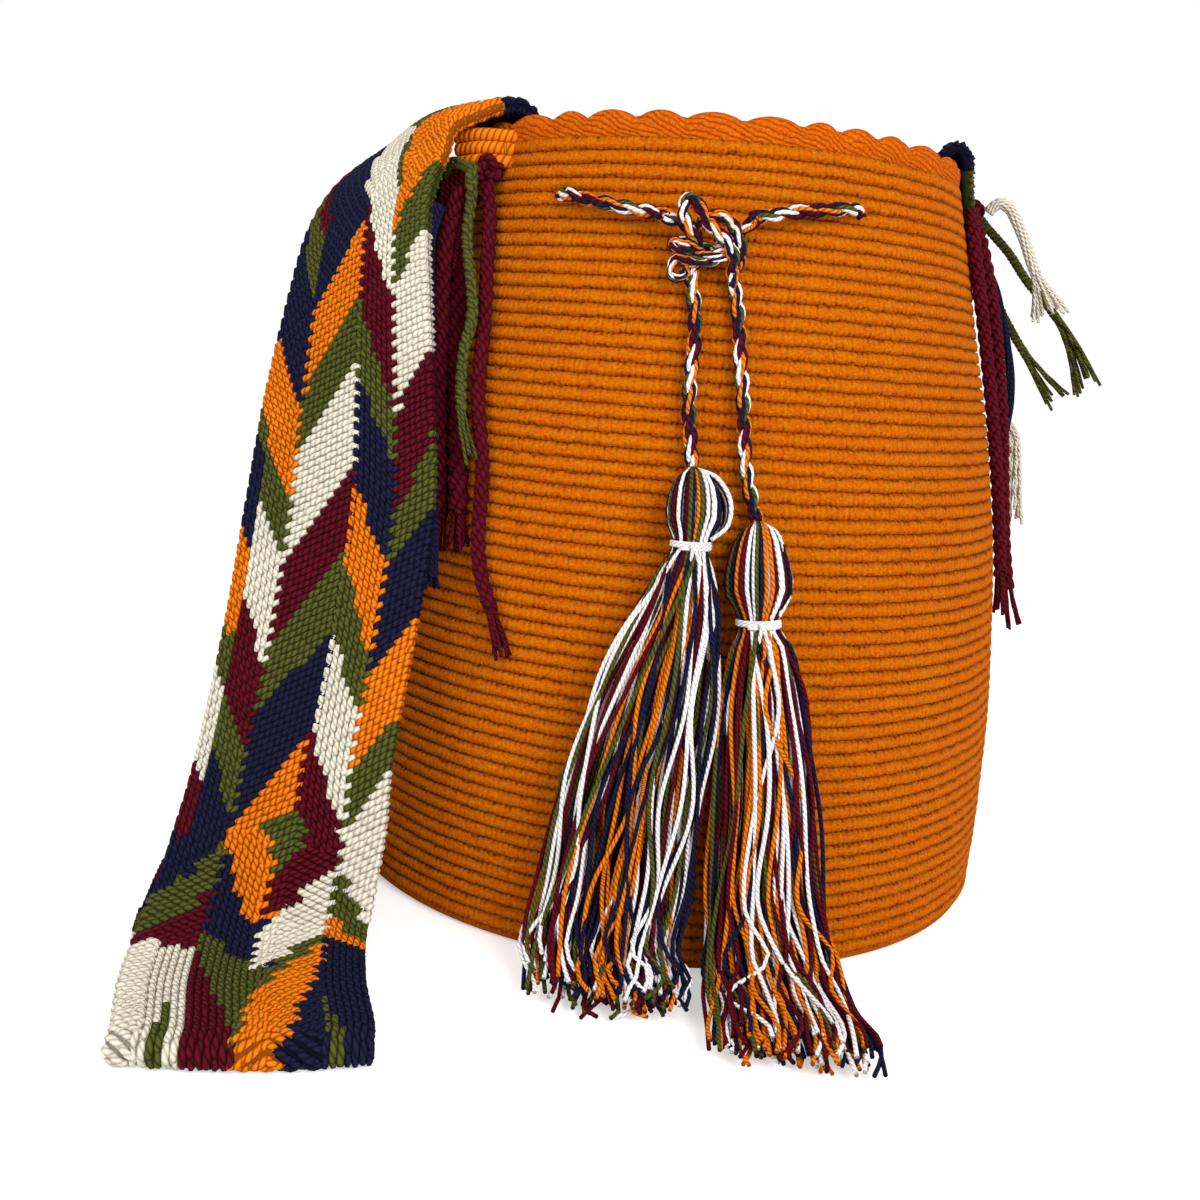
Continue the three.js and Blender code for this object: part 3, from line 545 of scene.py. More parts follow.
# The ties: braids and strands of the strap's ends below each side of the rim. Burgundy ones are ropes, olive
# ones plaits, cream ones bundles and navy ones loose; each is laid over a share of its length and then parts
tieStyles = dict(burgundy=('rope', 0.9), olive=('plait', 0.82), cream=('bundle', 0.68), navy=('loose', 0.97))
ties = dict(
    left_braid_burgundy_a=dict(diameter=6.4, ends=9, spread=0.6, knots=[
        (-49.1, 13.5, 0.907), (-50, 13.1, 0.868), (-49.4, 12.4, 0.818), (-47.5, 9.5, 0.736),
        (-45, 6.5, 0.65), (-42.2, 4.5, 0.564), (-40.8, 3.4, 0.504), (-40.2, 2.9, 0.457)]),
    left_braid_burgundy_b=dict(diameter=7.0, ends=9, spread=0.6, knots=[
        (-51.6, 6, 0.905), (-54.3, 4.5, 0.868), (-52.4, 3.8, 0.821), (-47.1, 3.4, 0.736),
        (-42.4, 3.1, 0.65), (-38.4, 3.4, 0.568), (-36.4, 3.4, 0.507), (-35.6, 3, 0.468)]),
    left_braid_burgundy_c=dict(diameter=5.4, ends=9, spread=0.6, knots=[
        (-48, 4.9, 0.917), (-45.6, 3.7, 0.879), (-42.9, 3.4, 0.821), (-40.1, 3.5, 0.761),
        (-38.7, 3.6, 0.714), (-37.4, 3.5, 0.664), (-34.8, 3.3, 0.607), (-33.3, 3.4, 0.575),
        (-32.4, 3.5, 0.536), (-31.7, 3.4, 0.489), (-30.4, 3.6, 0.454), (-28.3, 3.3, 0.421),
        (-25.8, 3.4, 0.381), (-24.5, 3.4, 0.353)]),
    left_braid_olive=dict(diameter=4.2, ends=5, knots=[
        (-48.2, 11.6, 0.933), (-46.2, 14.3, 0.921), (-45.9, 13.2, 0.907), (-46.6, 11.2, 0.889),
        (-46, 10.5, 0.854), (-44.2, 10.1, 0.825), (-41.4, 9.6, 0.786), (-39.7, 9.2, 0.75),
        (-40, 9, 0.714), (-38.9, 9.3, 0.675), (-37, 9.1, 0.63), (-34.8, 9.6, 0.602), (-33.2, 8.7, 0.575)]),
    left_strands_navy=dict(diameter=5.6, knots=[
        (-48.4, 21.4, 0.882), (-48.1, 22.4, 0.85), (-46.9, 20.6, 0.793), (-44.9, 18, 0.732),
        (-42.7, 15.1, 0.65), (-40.6, 12.1, 0.564), (-38.8, 9.6, 0.482), (-37.8, 8.1, 0.421)]),
    right_braid_burgundy_a=dict(diameter=5.4, crimp=0.5, ends=8, spread=0.9, knots=[
        (84.2, 4.4, 0.95), (76.7, 2.9, 0.914), (75.5, 2.9, 0.839), (75.9, 2.9, 0.768), (76.3, 2.9, 0.699),
        (76.6, 2.9, 0.629), (76.8, 2.9, 0.561), (77.0, 2.9, 0.493), (77.6, 2.9, 0.436), (77.9, 2.9, 0.4)]),
    right_braid_burgundy_b=dict(diameter=5.4, crimp=0.5, ends=8, spread=0.9, knots=[
        (91.1, 7.5, 0.941), (84.6, 6.4, 0.911), (82.7, 7.5, 0.836), (82.6, 7.6, 0.768), (82.6, 7.2, 0.698),
        (82.6, 6.2, 0.629), (82.6, 5.4, 0.557), (82.8, 5.4, 0.489), (83.2, 7.2, 0.421), (83.7, 9.7, 0.375)]),
    right_braid_cream_a=dict(diameter=4.6, ends=16, spread=2.9, knots=[
        (92.4, 13.2, 0.957), (91.9, 15.4, 0.965), (91.5, 17.9, 0.97), (91.5, 21.2, 0.964),
        (91.4, 23.8, 0.946), (91.4, 26, 0.923), (91.3, 28.2, 0.89), (91.3, 30.5, 0.859),
        (91.3, 31.8, 0.839), (91.3, 33, 0.815)]),
    right_braid_olive_a=dict(diameter=4.2, ends=10, spread=2.2, crimp=1.9, share=0.62, knots=[
        (97, 11.9, 0.955), (97, 15.2, 0.94), (96.5, 22.7, 0.908), (96.1, 29.2, 0.869), (95.7, 36.3, 0.838),
        (95.4, 41.5, 0.808), (95.2, 45.4, 0.775), (95.1, 47.9, 0.743), (94.9, 49.7, 0.715)]),
    right_braid_olive_b=dict(diameter=4.2, ends=8, spread=2.0, crimp=1.5, share=0.7, knots=[
        (99.8, 7.2, 0.936), (99.7, 11.4, 0.911), (99.3, 15.2, 0.876), (99, 17.7, 0.844), (98.7, 19.6, 0.823),
        (98.2, 24.2, 0.787), (97.8, 29.4, 0.754), (97.5, 33.6, 0.729), (97.3, 37.2, 0.71),
        (97.1, 40.1, 0.694)]),
    right_braid_cream_b=dict(diameter=4.6, ends=14, spread=1.7, crimp=0.7, share=0.5, knots=[
        (103.7, 8.2, 0.918), (103.6, 11.8, 0.879), (103, 14.9, 0.828), (102, 15.7, 0.77),
        (100.7, 16.1, 0.713), (99.5, 17.6, 0.669), (98.4, 19.7, 0.644), (98.3, 19.1, 0.606),
        (98.3, 17.6, 0.558), (98.2, 16.3, 0.495)]),
    right_strands_navy=dict(diameter=3.6, crimp=0.8, knots=[
        (95.3, 7.4, 0.93), (94.1, 9, 0.902), (92.9, 13.3, 0.853), (92.8, 15.2, 0.798), (92.7, 16, 0.742),
        (92.7, 15.1, 0.699), (93.1, 12.3, 0.655), (93.3, 10, 0.614)]),
)


# A plait of three bundles: each swings from side to side and passes over and under the others
def plaited(path, radius, pitch, bundleRadius):
    sides, ups = framesAlong(path)
    turn = 2 * math.pi * distances(path) / pitch
    lines = []
    for k in range(3):
        phase = (turn + 2 * math.pi * k / 3)[:, None]
        swing = (radius - bundleRadius) * np.sin(phase)
        over = (radius - bundleRadius) * 0.8 * np.sin(2 * phase)
        lines.append((path + sides * swing + ups * over, bundleRadius))
    return lines


# A rope of plies laid round a straight core, as the thick burgundy ties are
def roped(path, radius, pitch, count):
    plyRadius = radius * (0.5 if count < 4 else 0.38)
    plies = [(2 * math.pi * k / count, radius - plyRadius) for k in range(count)]
    lines = [(line, plyRadius) for line in twistedPlies(path, plies, pitch)]
    return lines + [(path, plyRadius)]


def tiePieces(name, facts):
    color = name.split('_')[2]
    style, share = tieStyles[color]
    facts = dict(share=share, ends=7, spread=0.7, crimp=0.15) | facts
    path = smoothPath(placed(facts['knots']), 0.8)
    radius = facts['diameter'] / 2
    number = yarnOrder.index(color)
    rng = random.Random(name)
    body = path[:int(len(path) * facts['share'])]
    if style == 'plait':
        lines = plaited(body, radius, radius * 5.2, radius * 0.52)
    elif style == 'rope':
        lines = roped(body, radius, radius * 6, 3)
    elif style == 'bundle':
        plies = [(2 * math.pi * k / 8, radius - 0.72) for k in range(8)] + [(0.3, 0.4), (3.4, 0.4)]
        lines = [(line, 0.68) for line in twistedPlies(body, plies, radius * 45)]
    else:
        lines = roped(body, radius, radius * 60, 6)
    braid = yarnPiece(name + '_laid', [(line, r, number) for line, r in lines], yarnList, sides=8)
    hangOn(braid, color + '_cotton', name)
    # the yarns part below the last crossing: straight where they were laid, crimped where they were plaited
    rest = path[len(body) - 3:]
    sides, ups = framesAlong(rest)
    steps = np.linspace(0, 1, len(rest))
    loose = []
    for k in range(facts['ends']):
        turn = 2 * math.pi * k / facts['ends'] + rng.uniform(-0.4, 0.4)
        reach = radius * 0.5 + facts['spread'] * radius * steps ** 1.4 * rng.uniform(0.4, 1.3)
        crimp = facts['crimp'] * np.sin(steps * distances(rest)[-1] * 0.75 + k * 1.9) * (steps > 0)
        line = rest + (reach * math.cos(turn) + crimp)[:, None] * sides + (reach * math.sin(turn))[:, None] * ups
        line = line[:max(4, int(len(line) * rng.uniform(0.78, 1.0)))]
        loose.append((evenly(line, 1.0), 0.62, number))
    fray = yarnPiece(name + '_loose_ends', loose, yarnList)
    hangOn(fray, color + '_cotton')


# Rows and loose yarns between the strap's edge and the tied ends, on the left: colour, radius, count, line and step
yoke = [
    ('orange', 2.45, 3, [(-57, 13, 0.974), (-52.5, 8.5, 0.977), (-49, 1, 0.977), (-46.5, -6, 0.976)],
     (0.9, -0.9, -0.016)),
    ('olive', 1, 2, [(-56, 15, 0.93), (-52.5, 16.5, 0.942), (-48.5, 14.5, 0.935), (-46.6, 12, 0.925)],
     (0.3, -0.8, -0.007)),
    ('burgundy', 1, 5, [(-57, 14, 0.93), (-55.5, 13.5, 0.9), (-54, 12, 0.86), (-53, 11, 0.8)],
     (1.25, -0.4, 0.002)),
    ('navy', 1.1, 9, [(-61, 11.5, 0.93), (-62, 12, 0.9), (-61, 11.5, 0.86), (-59.5, 10.5, 0.8), (-58, 9, 0.74)],
     (1.0, -0.2, 0.001)),
]
yokeStrands = []
for color, radius, count, knots, shift in yoke:
    for k in range(count):
        line = smoothPath(placed([tuple(np.array(knot) + np.array(shift) * k) for knot in knots]), 1.2)
        yokeStrands.append((line, radius, yarnOrder.index(color)))
hangOn(yarnPiece('strap_yoke_strands_left', yokeStrands, yarnList, sides=8), 'mixed_cotton', 'tie_knot_left')

for name, facts in ties.items():
    tiePieces(name, facts)


# The small knots that hold the ties: a tight turn of the same yarn
def smallKnot(name, node, centre, radius):
    line = []
    for i in range(90):
        t = 2 * math.pi * i / 89
        around = radius * 0.62 + radius * 0.26 * math.cos(3 * t)
        line.append(centre + np.array([around * math.cos(2 * t), radius * 0.3 * math.sin(3 * t),
                                       around * math.sin(2 * t)]))
    points = np.array(line[:-1])
    piece = yarnPiece(name, [(points, radius * 0.34, yarnOrder.index('burgundy'))], yarnList, sides=8)
    return hangOn(piece, 'burgundy_cotton', node)


smallKnot('tie_turns_left', 'tie_knot_left', placed([(-48.7, 4.9, 0.934)])[0], 4.6)
smallKnot('tie_turns_right', 'tie_knot_right', placed([(94.8, 9.2, 0.961)])[0], 3.6)
print('ties made')

# The bag: rows of single crochet, with an edging of shells at the mouth
crochet = dict(columns=300, rimHeight=8.0, corner=4.0, baseRings=27, shells=31, shellHeight=2.8,
               holes=[-31, 31, 150, 210], holeWidth=7.0, holeHeight=3.6, holeDepth=3.2)


def crochetLook(m):
    def dome(value, sharpness):
        return m.power(m.maximum(m.sine(m.multiply(value, math.pi)), 0.0), sharpness)
    around, up = m.place(260.0, 2.0, (0.9, 0.75, 0))
    row = m.fract(m.subtract(up, 0.375))
    stitch = m.fract(around)
    pair = m.fract(m.multiply(around, 0.5))
    columns = m.multiplyAdd(dome(stitch, 0.35), 0.12, m.multiplyAdd(dome(pair, 0.2), 0.1, 0.78))
    # a hole between stitches where two rows meet, sunk in the relief and darkened with painted shade
    hole = m.multiply(m.subtract(1.0, dome(stitch, 0.8)), m.subtract(1.0, dome(row, 0.55)))
    grain = m.noise(950.0, 4.0, 0.7)
    fleck = m.multiplyAdd(grain, 5.0, -2.0)
    block = m.multiply(dome(row, 0.17), columns)
    height = m.subtract(m.multiplyAdd(grain, 2.4, block), m.multiply(hole, 0.5))
    light = m.clamp(m.multiplyAdd(m.noise(40.0), 0.3, m.multiply(fleck, 0.75)))
    # painted shade: the dark red-brown #841f00 fills the grooves between rows, the stitch borders and the holes
    depth = m.clamp(m.subtract(m.power(block, 1.2), m.multiply(hole, 0.7)))
    return m.mix(depth, '#841f00', m.mix(light, '#f26000', '#ff9604')), height


# Yarns lean across each shell and bend over its top, with painted shade between them
def shellLook(m):
    around, up = m.place(90.0, 3.0, (0.9, 0.9, 0))
    slant = m.multiplyAdd(around, 2.2, m.multiply(up, 1.4))
    lines = m.absolute(m.sine(m.multiply(slant, math.pi * 1.5)))
    grain = m.noise(950.0, 4.0, 0.7)
    surface = m.mix(m.clamp(m.multiplyAdd(grain, 4.0, -1.5)), '#b84a00', '#dc6c02')
    # painted shade: #b04403 in the gaps between the leaning yarns
    return m.mix(m.power(lines, 0.35), '#b04403', surface), m.multiplyAdd(grain, 0.9, m.power(lines, 0.4))


# The inside of the crochet: rows in relief, with painted shade #8a3205 in the grooves between them
def liningLook(m):
    up = addNode(m.tree, 'SeparateXYZ', Vector=m.position()).outputs[2]
    rows = m.absolute(m.sine(m.multiply(up, math.pi / (bag['rowPitch'] * millimetre))))
    relief = m.power(rows, 0.5)
    return m.mix(relief, '#8a3205', '#cf6a0b'), m.multiplyAdd(m.noise(700.0), 0.5, relief)


def bagProfile():
    # radius, height, row of stitches, material: 0 crochet, 1 edging, 2 inside
    top = bag['height'] - crochet['rimHeight']
    corner = crochet['corner']
    rows = [(0.0, 0.0, -30.0, 0)]
    foot = bag['radii'][0]
    rings = crochet['baseRings']
    for i in range(1, rings + 1):
        radius = (foot - corner) * i / rings
        rows.append((radius, 0.25 * (i % 2), -1.0 - (rings - i) * 1.0, 0))
    rows.append((foot - 0.3 * corner, 0.3 * corner, -0.5, 0))
    count = int((top - corner) / bag['rowPitch'])
    pitch = (top - corner) / count
    for row in range(count):
        for share, lift in ((0, -bag['groove']), (0.12, 0.4), (0.5, bag['ridge'] + 0.1), (0.88, 0.4)):
            height = corner + (row + share) * pitch
            rows.append((float(bagRadius(height)) + lift, height, row + share, 0))
    rows.append((float(bagRadius(top)) - bag['groove'], top, float(count), 1))
    rim = bag['height']
    outer = float(crestRadius(rim))
    rows += [(outer + 1.0, top + 2.2, count + 0.7, 1), (outer + 0.8, rim - 3.2, count + 1.3, 1),
             (outer + 0.2, rim - 1.1, count + 1.8, 1), (outer - 1.6, rim, count + 2.2, 1),
             (outer - 3.2, rim - 0.7, count + 2.7, 1), (outer - 4.3, rim - 3.0, count + 3.2, 2)]
    for share in (0.96, 0.9, 0.8, 0.68, 0.54, 0.4, 0.26, 0.12, 0.03):
        height = bag['wall'] + share * (rim - bag['wall'])
        rows.append((float(bagRadius(height)) - bag['wall'], height, count + 4 + share, 2))
    rows.append((foot - bag['wall'] - corner, bag['wall'], count + 6.0, 2))
    for share in (0.6, 0.25, 0.0):
        rows.append(((foot - bag['wall'] - corner) * share, bag['wall'], count + 7.0 + share, 2))
    return rows


def crochetBag():
    profile = bagProfile()
    rng = random.Random(5)
    shellEdges = [0.0]
    while len(shellEdges) < crochet['shells']:
        shellEdges.append(shellEdges[-1] + rng.uniform(0.7, 1.3))
    shellEdges = np.array(shellEdges + [shellEdges[-1] + 1.0])
    shellEdges *= 360 / shellEdges[-1]
    last = len(profile) - 1
    mesh, layer, across, up = squareSheet(crochet['columns'], last)
    level = np.rint(up * last).astype(int)
    table = np.array(profile)
    radius = table[level, 0]
    height = table[level, 1]
    kind = table[level, 3]
    degrees = 180 + 360 * across
    shellPlace = np.interp((360 * across) % 360, shellEdges, np.arange(len(shellEdges)))
    lobe = np.sin(np.pi * (shellPlace % 1)) ** 0.7
    rise = np.clip((height - (bag['height'] - crochet['rimHeight'])) / crochet['rimHeight'], 0, 1) * (kind > 0)
    rise = rise * (radius > float(bagRadius(bag['height'])) - bag['wall'] - 1.5)
    height = height + rise * crochet['shellHeight'] * (lobe - 0.75)
    radius = radius + rise * 0.9 * (lobe - 0.5)
    # the hand-made wall waves a little
    theta = np.radians(degrees)
    wave = (0.35 * np.sin(3 * theta + height / 37) + 0.25 * np.sin(7 * theta - height / 19 + 1.3)
            + 0.16 * np.sin(23 * theta + height / 9))
    wall = (height > 6) & (kind < 2)
    radius = radius + wave * wall * 0.8
    radius = radius + np.where(wall & (kind == 0), 0.12 * np.sin(61 * theta + level * 2.1), 0)
    # the cord draws the wall in round each of its holes
    for hole in crochet['holes']:
        aside = ((degrees - hole + 180) % 360 - 180) * np.pi / 180 * radius
        above = height - drawstring['eyeletShare'] * bag['height']
        away = np.hypot(aside / crochet['holeWidth'], above / crochet['holeHeight'])
        radius = radius - np.where(wall, crochet['holeDepth'] * np.exp(-away ** 2 * 1.6), 0)
    moveVertices(mesh, polar(degrees, radius, height))
    for face in mesh.faces:
        rowsOf = [profile[int(round(loop[layer].uv.y * last))] for loop in face.loops]
        number = min(int(entry[3]) for entry in rowsOf)
        face.material_index = number
        middle = sum(entry[2] for entry in rowsOf) / len(rowsOf)
        rowNumber = math.floor(middle)
        here = max(10.0, sum(entry[0] for entry in rowsOf) / len(rowsOf))
        if number == 0 and rowNumber >= 0:
            here = float(bagRadius(min(rowNumber * bag['rowPitch'], bag['height'] - 1)))
        stitches = round(2 * math.pi * here / bag['stitchWidth'])
        for loop, entry in zip(face.loops, rowsOf):
            x = loop[layer].uv.x
            if number == 1:
                place = float(np.interp(360 * x, shellEdges, np.arange(len(shellEdges))))
            else:
                place = x * stitches + (rowNumber * 0.37) % 1
            loop[layer].uv = (place, entry[2])
    return closedSheet('bag_crochet', mesh, 1e-6, [
        cottonMaterial('orange cotton, rows of single crochet', crochetLook, 0.92, 0.0014),
        cottonMaterial('orange cotton, shell edging', shellLook, 0.92, 0.0008),
        cottonMaterial('orange cotton, inside of the crochet', liningLook, 0.92, 0.001)])


crochetPiece = hangOn(crochetBag(), 'orange_cotton', 'bag_body')
print('bag made')

# The shoulder strap: a band braided in zigzags of five colours
strap = dict(
    width=72, thickness=4.2, relief=0.35, gap=0.3, slack=0.2, cells=34, rowHeight=2.35, lean=0.42,
    # angle of the centre line, distance beyond the seat, share of the height, a length more, and how the
    # outer edge turns outwards, round and up; True where it is inside the bag
    course=[
        (-72, 0, 1, -18, (0, -1, 0), True), (-72, 0, 1, -8, (0, -1, 0), True), (-72, 0, 1, 0, (0, -1, 0), True),
        (-72, -7.7, 1, 5.2, (0, -1, 0.02)), (-71.5, -1, 1, 6.2, (0, -1, 0.06)),
        (-71, 7.7, 1, 4.2, (0, -1, 0.12)), (-69.6, 16, 1, -1.2, (0.02, -1, 0.13)),
        (-66.8, 18.5, 1, -10.5, (0.11, -1, 0.12)), (-63.1, 21.8, 1, -27, (0.27, -0.96, 0.08)),
        (-59.9, 22, 1, -43, (0.34, -0.94, 0.03)), (-56, 20, 0.765, 0, (0.38, -0.92, -0.03)),
        (-51.5, 15, 0.64, 0, (0.47, -0.88, -0.08)), (-47.5, 12.8, 0.52, 0, (0.53, -0.85, -0.1)),
        (-45.2, 15.8, 0.376, 0, (0.54, -0.83, -0.14)), (-43.2, 24, 0.21, 0, (0.56, -0.82, -0.15)),
        (-41.2, 28, 0, 33.5, (0.63, -0.77, -0.09)), (-40, 32.5, 0, 17.5, (0.69, -0.72, -0.05)),
        (-38.6, 37, 0, 9.8, (0.74, -0.67, 0)), (-36.6, 42.5, 0, 5.6, (0.765, -0.645, 0)),
        (-31.9, 59.8, 0, 5.6, (0.695, -0.72, 0)), (-26.8, 80, 0, 5.6, (0.62, -0.785, 0)),
        (-26.4, 83, 0, 4.76, (0.61, -0.79, 0)), (-26.2, 84, 0, 2.8, (0.61, -0.79, 0)),
        (-26.4, 83, 0, 0.84, (0.61, -0.79, 0)), (-26.8, 80, 0, 0, (0.62, -0.785, 0)),
        (-31.9, 59.8, 0, 0, (0.695, -0.72, 0)), (-36.6, 42.5, 0, 0.2, (0.765, -0.645, 0)),
        (-43, 27, 0, 0.6, (0.86, -0.51, -0.04)), (-52, 11, 0, 0.4, (0.91, -0.38, -0.16)),
        (-64, 1.5, 0, 0.2, (0.9, -0.14, -0.41)), (-77, 0.6, 0, 0.2, (0.85, 0, -0.53)),
        (-91, 0.6, 0, 0.2, (0.84, 0, -0.54)), (-105, 0.6, 0, 0.2, (0.82, 0, -0.57)),
        (-118, 0.6, 0, 0.4, (0.76, 0, -0.65)), (-130, 0.8, 0, 0.6, (0.62, 0, -0.78)),
        (-140, 0.8, 0, 0.6, (0.38, 0, -0.93)), (-149, 0.8, 0, 0.4, (0.1, 0, -0.99)),
        (-159, 0.3, 0.15, 2, (0, -0.22, -0.98)), (-171, 0, 0.205, 0, (0, -0.5, -0.87)),
        (-184, 0, 0.3, 0, (0, -0.65, -0.76)), (-197, 0, 0.41, 0, (0, -0.68, -0.73)),
        (-210, 0, 0.53, 0, (0, -0.7, -0.71)), (-223, 0, 0.66, 0, (0, -0.74, -0.67)),
        (-236, 0, 0.78, 0, (0, -0.8, -0.6)), (-246.5, 0, 1, -34, (0, -0.91, -0.41)),
        (-253, 0, 1, -16, (0, -0.99, -0.15)), (-256, 0, 1, -4, (0, -1, 0)), (-257, -0.8, 1, 5.4, (0, -1, 0)),
        (-257, -4.8, 1, 8.4, (0, -1, 0)), (-257, -8.8, 1, 5, (0, -1, 0)), (-257, 0, 1, -3, (0, -1, 0), True),
        (-257, 0, 1, -18, (0, -1, 0), True)],
)


def warpLine(across):
    seat = strap['gap'] + strap['thickness'] / 2 + strap['relief']
    knots = []
    for degrees, out, share, up, (turnOut, turnRound, turnUp), *inside in strap['course']:
        offset = across * strap['width']
        lift = seat + abs(turnUp) * strap['width'] / 2 if share == 0 else 0
        height = share * bag['height'] + up + lift + turnUp * offset
        if inside:
            radius = innerReach(height) - seat - 2 * strap['slack']
        else:
            radius = float(crestRadius(height)) + seat + strap['slack']
        radius += turnOut * strap['width'] / 2 + out
        angle = degrees + math.degrees(turnRound * offset / radius)
        knots.append(polar(angle, radius + turnOut * offset, height))
    return np.array(knots)


# The band's surface: a point and the outward direction at a place across it and a length along it
bandShares = np.linspace(0, 1, 1600)
bandLines = np.array([curveAt(warpLine(i / 12 - 0.5), bandShares) for i in range(13)])
bandLength = distances(bandLines[6])
strapLength = float(bandLength[-1])


def bandPoint(across, along):
    place = np.clip(np.asarray(across, float) + 0.5, 0, 1) * 12
    low = np.minimum(place.astype(int), 11)
    part = (place - low)[..., None]
    station = np.interp(along, bandLength, np.arange(len(bandLength)))
    base = np.minimum(station.astype(int), len(bandLength) - 2)
    step = (station - base)[..., None]

    def line(number):
        return bandLines[number, base] * (1 - step) + bandLines[number, base + 1] * step
    return line(low) * (1 - part) + line(low + 1) * part


def bandNormal(across, along):
    forward = bandPoint(across, along + 1.5) - bandPoint(across, along - 1.5)
    sideways = (bandPoint(np.clip(across + 0.03, -0.5, 0.5), along)
                - bandPoint(np.clip(across - 0.03, -0.5, 0.5), along))
    return unit(np.cross(forward, sideways))


# The pattern, from the edge nearer the bag: each zone is as wide as its columns, and each of its bands has
# the length in mm down the strap where it starts at the zone's near and far side, and its yarn.
# A band that starts later at the near side is made of steep yarns, and any other of slanting ones
zones = [
    dict(columns=7, bands=[
        (0, 0, 'navy'), (34, 30, 'orange'), (68, 110, 'olive'), (104, 133, 'cream'), (150, 178, 'burgundy'),
        (182, 214, 'olive'), (208, 231, 'navy'), (246, 268, 'orange'), (281, 300, 'olive'), (299, 319, 'cream'),
        (350, 326, 'olive'), (357, 345, 'orange'), (364, 355, 'navy'), (455, 385, 'olive'),
        (470, 405, 'navy')]),
    dict(columns=7, bands=[
        (0, 0, 'navy'), (30, 38, 'orange'), (86, 57, 'olive'), (91, 68, 'cream'), (133, 96, 'burgundy'),
        (172, 133, 'olive'), (192, 158, 'navy'), (228, 197, 'orange'), (261, 224, 'olive'), (280, 248, 'cream'),
        (318, 283, 'burgundy'), (327, 344, 'cream'), (351, 368, 'olive'), (357, 378, 'orange'),
        (372, 430, 'navy')]),
    dict(columns=11, bands=[
        (0, 0, 'navy'), (45, 50, 'olive'), (56, 58, 'cream'), (96, 70, 'navy'), (104, 142, 'orange'),
        (133, 171, 'olive'), (158, 194, 'cream'), (193, 232, 'burgundy'), (224, 258, 'olive'),
        (250, 281, 'navy'), (281, 318, 'orange'), (352, 320, 'navy'), (374, 352, 'olive'),
        (450, 359, 'burgundy')]),
    dict(columns=6, bands=[
        (0, 0, 'olive'), (50, 50, 'cream'), (68, 65, 'navy'), (104, 92, 'burgundy'), (112, 101, 'olive'),
        (134, 115, 'navy'), (174, 155, 'orange'), (205, 186, 'olive'), (226, 205, 'cream'),
        (261, 239, 'burgundy'), (290, 273, 'olive'), (313, 291, 'navy'), (323, 337, 'olive'),
        (339, 351, 'burgundy'), (360, 358, 'cream')]),
    dict(columns=3, bands=[
        (0, 0, 'cream'), (66, 62, 'navy'), (84, 80, 'burgundy'), (97, 92, 'olive'), (110, 106, 'navy'),
        (153, 148, 'orange'), (180, 174, 'olive'), (190, 184, 'navy'), (226, 214, 'orange'),
        (254, 246, 'olive'), (271, 264, 'cream'), (302, 296, 'burgundy'), (324, 318, 'navy'),
        (338, 342, 'olive'), (351, 354, 'burgundy'), (358, 360, 'cream')]),
]
# Diamonds and stripes over the zones: yarn, whether its yarns are steep, corners as mm across and down
patches = [
    ('orange', False, [(29.5, 281), (40, 299), (54, 318), (52, 322), (39, 322), (41, 317), (31, 308)]),
    ('orange', True, [(53, 319), (46, 336), (37.5, 351), (35, 345), (35, 331), (40, 318)]),
    ('burgundy', True, [(30.3, 283), (31, 308), (24, 319), (26, 323), (13.5, 325)]),
    ('burgundy', False, [(13.5, 323), (26, 322), (36, 330), (35.7, 348), (14, 328)]),
    ('olive', False, [(25, 319), (31, 310), (41, 316), (38, 322), (34.5, 331)]),
    ('cream', False, [(29, 343.5), (35.7, 351), (36, 367), (35, 373.5), (29, 368)]),
    ('orange', False, [(29, 378), (34.5, 391), (38, 405), (38.8, 418), (38.8, 430), (29, 430)]),
    ('olive', True, [(56.5, 383), (61, 412), (62, 430), (57.5, 430), (57, 405)]),
]
patternEnds = (60, 425)
# Near its other end the strap is closed with plain bands
endBands = [(1100, 'burgundy'), (1136, 'olive'), (1161, 'navy')]


def insidePolygon(x, y, corners):
    inside = False
    for (x0, y0), (x1, y1) in zip(corners, corners[1:] + corners[:1]):
        if (y0 > y) != (y1 > y) and x < (x1 - x0) * (y - y0) / (y1 - y0) + x0:
            inside = not inside
    return inside


# The yarn at a place, and whether it runs steeply; below the photographed length the pattern turns back
def bandAt(across, along):
    for start, color in reversed(endBands):
        if along >= start:
            return color, False
    low, high = patternEnds
    if along > high:
        span = high - low
        along = low + abs((along - high) % (2 * span) - span)
    for color, steep, corners in reversed(patches):
        if insidePolygon(across, along, corners):
            return color, steep
    start = 0.0
    for number, zone in enumerate(zones):
        width = zone['columns'] * strap['width'] / strap['cells']
        if across < start + width or number == len(zones) - 1:
            break
        start += width
    share = min(max((across - start) / width, 0), 1)
    found = zone['bands'][0]
    for band in zone['bands']:
        if along >= band[0] + (band[1] - band[0]) * share:
            found = band
    return found[2], found[0] > found[1]


# Rows of yarns climb and fall across the strap with the zones
def zigzag(across):
    x = [0.0]
    y = [0.0]
    for number, zone in enumerate(zones):
        width = zone['columns'] * strap['width'] / strap['cells']
        x.append(x[-1] + width)
        y.append(y[-1] + width * strap['lean'] * (1 if number in (0, 2) else -1))
    return np.interp((np.asarray(across, float) + 0.5) * strap['width'], x, y)


# The ground between the braided yarns, painted with the yarn that lies over it and darkened to between a fifth and
# a half of it as painted shade between the floats
def groundLook(m):
    painted = addNode(m.tree, 'Attribute', dict(attribute_name='yarn')).outputs['Color']
    grain = m.noise(1600.0)
    return m.shaded(painted, m.multiplyAdd(grain, 0.3, 0.2)), grain


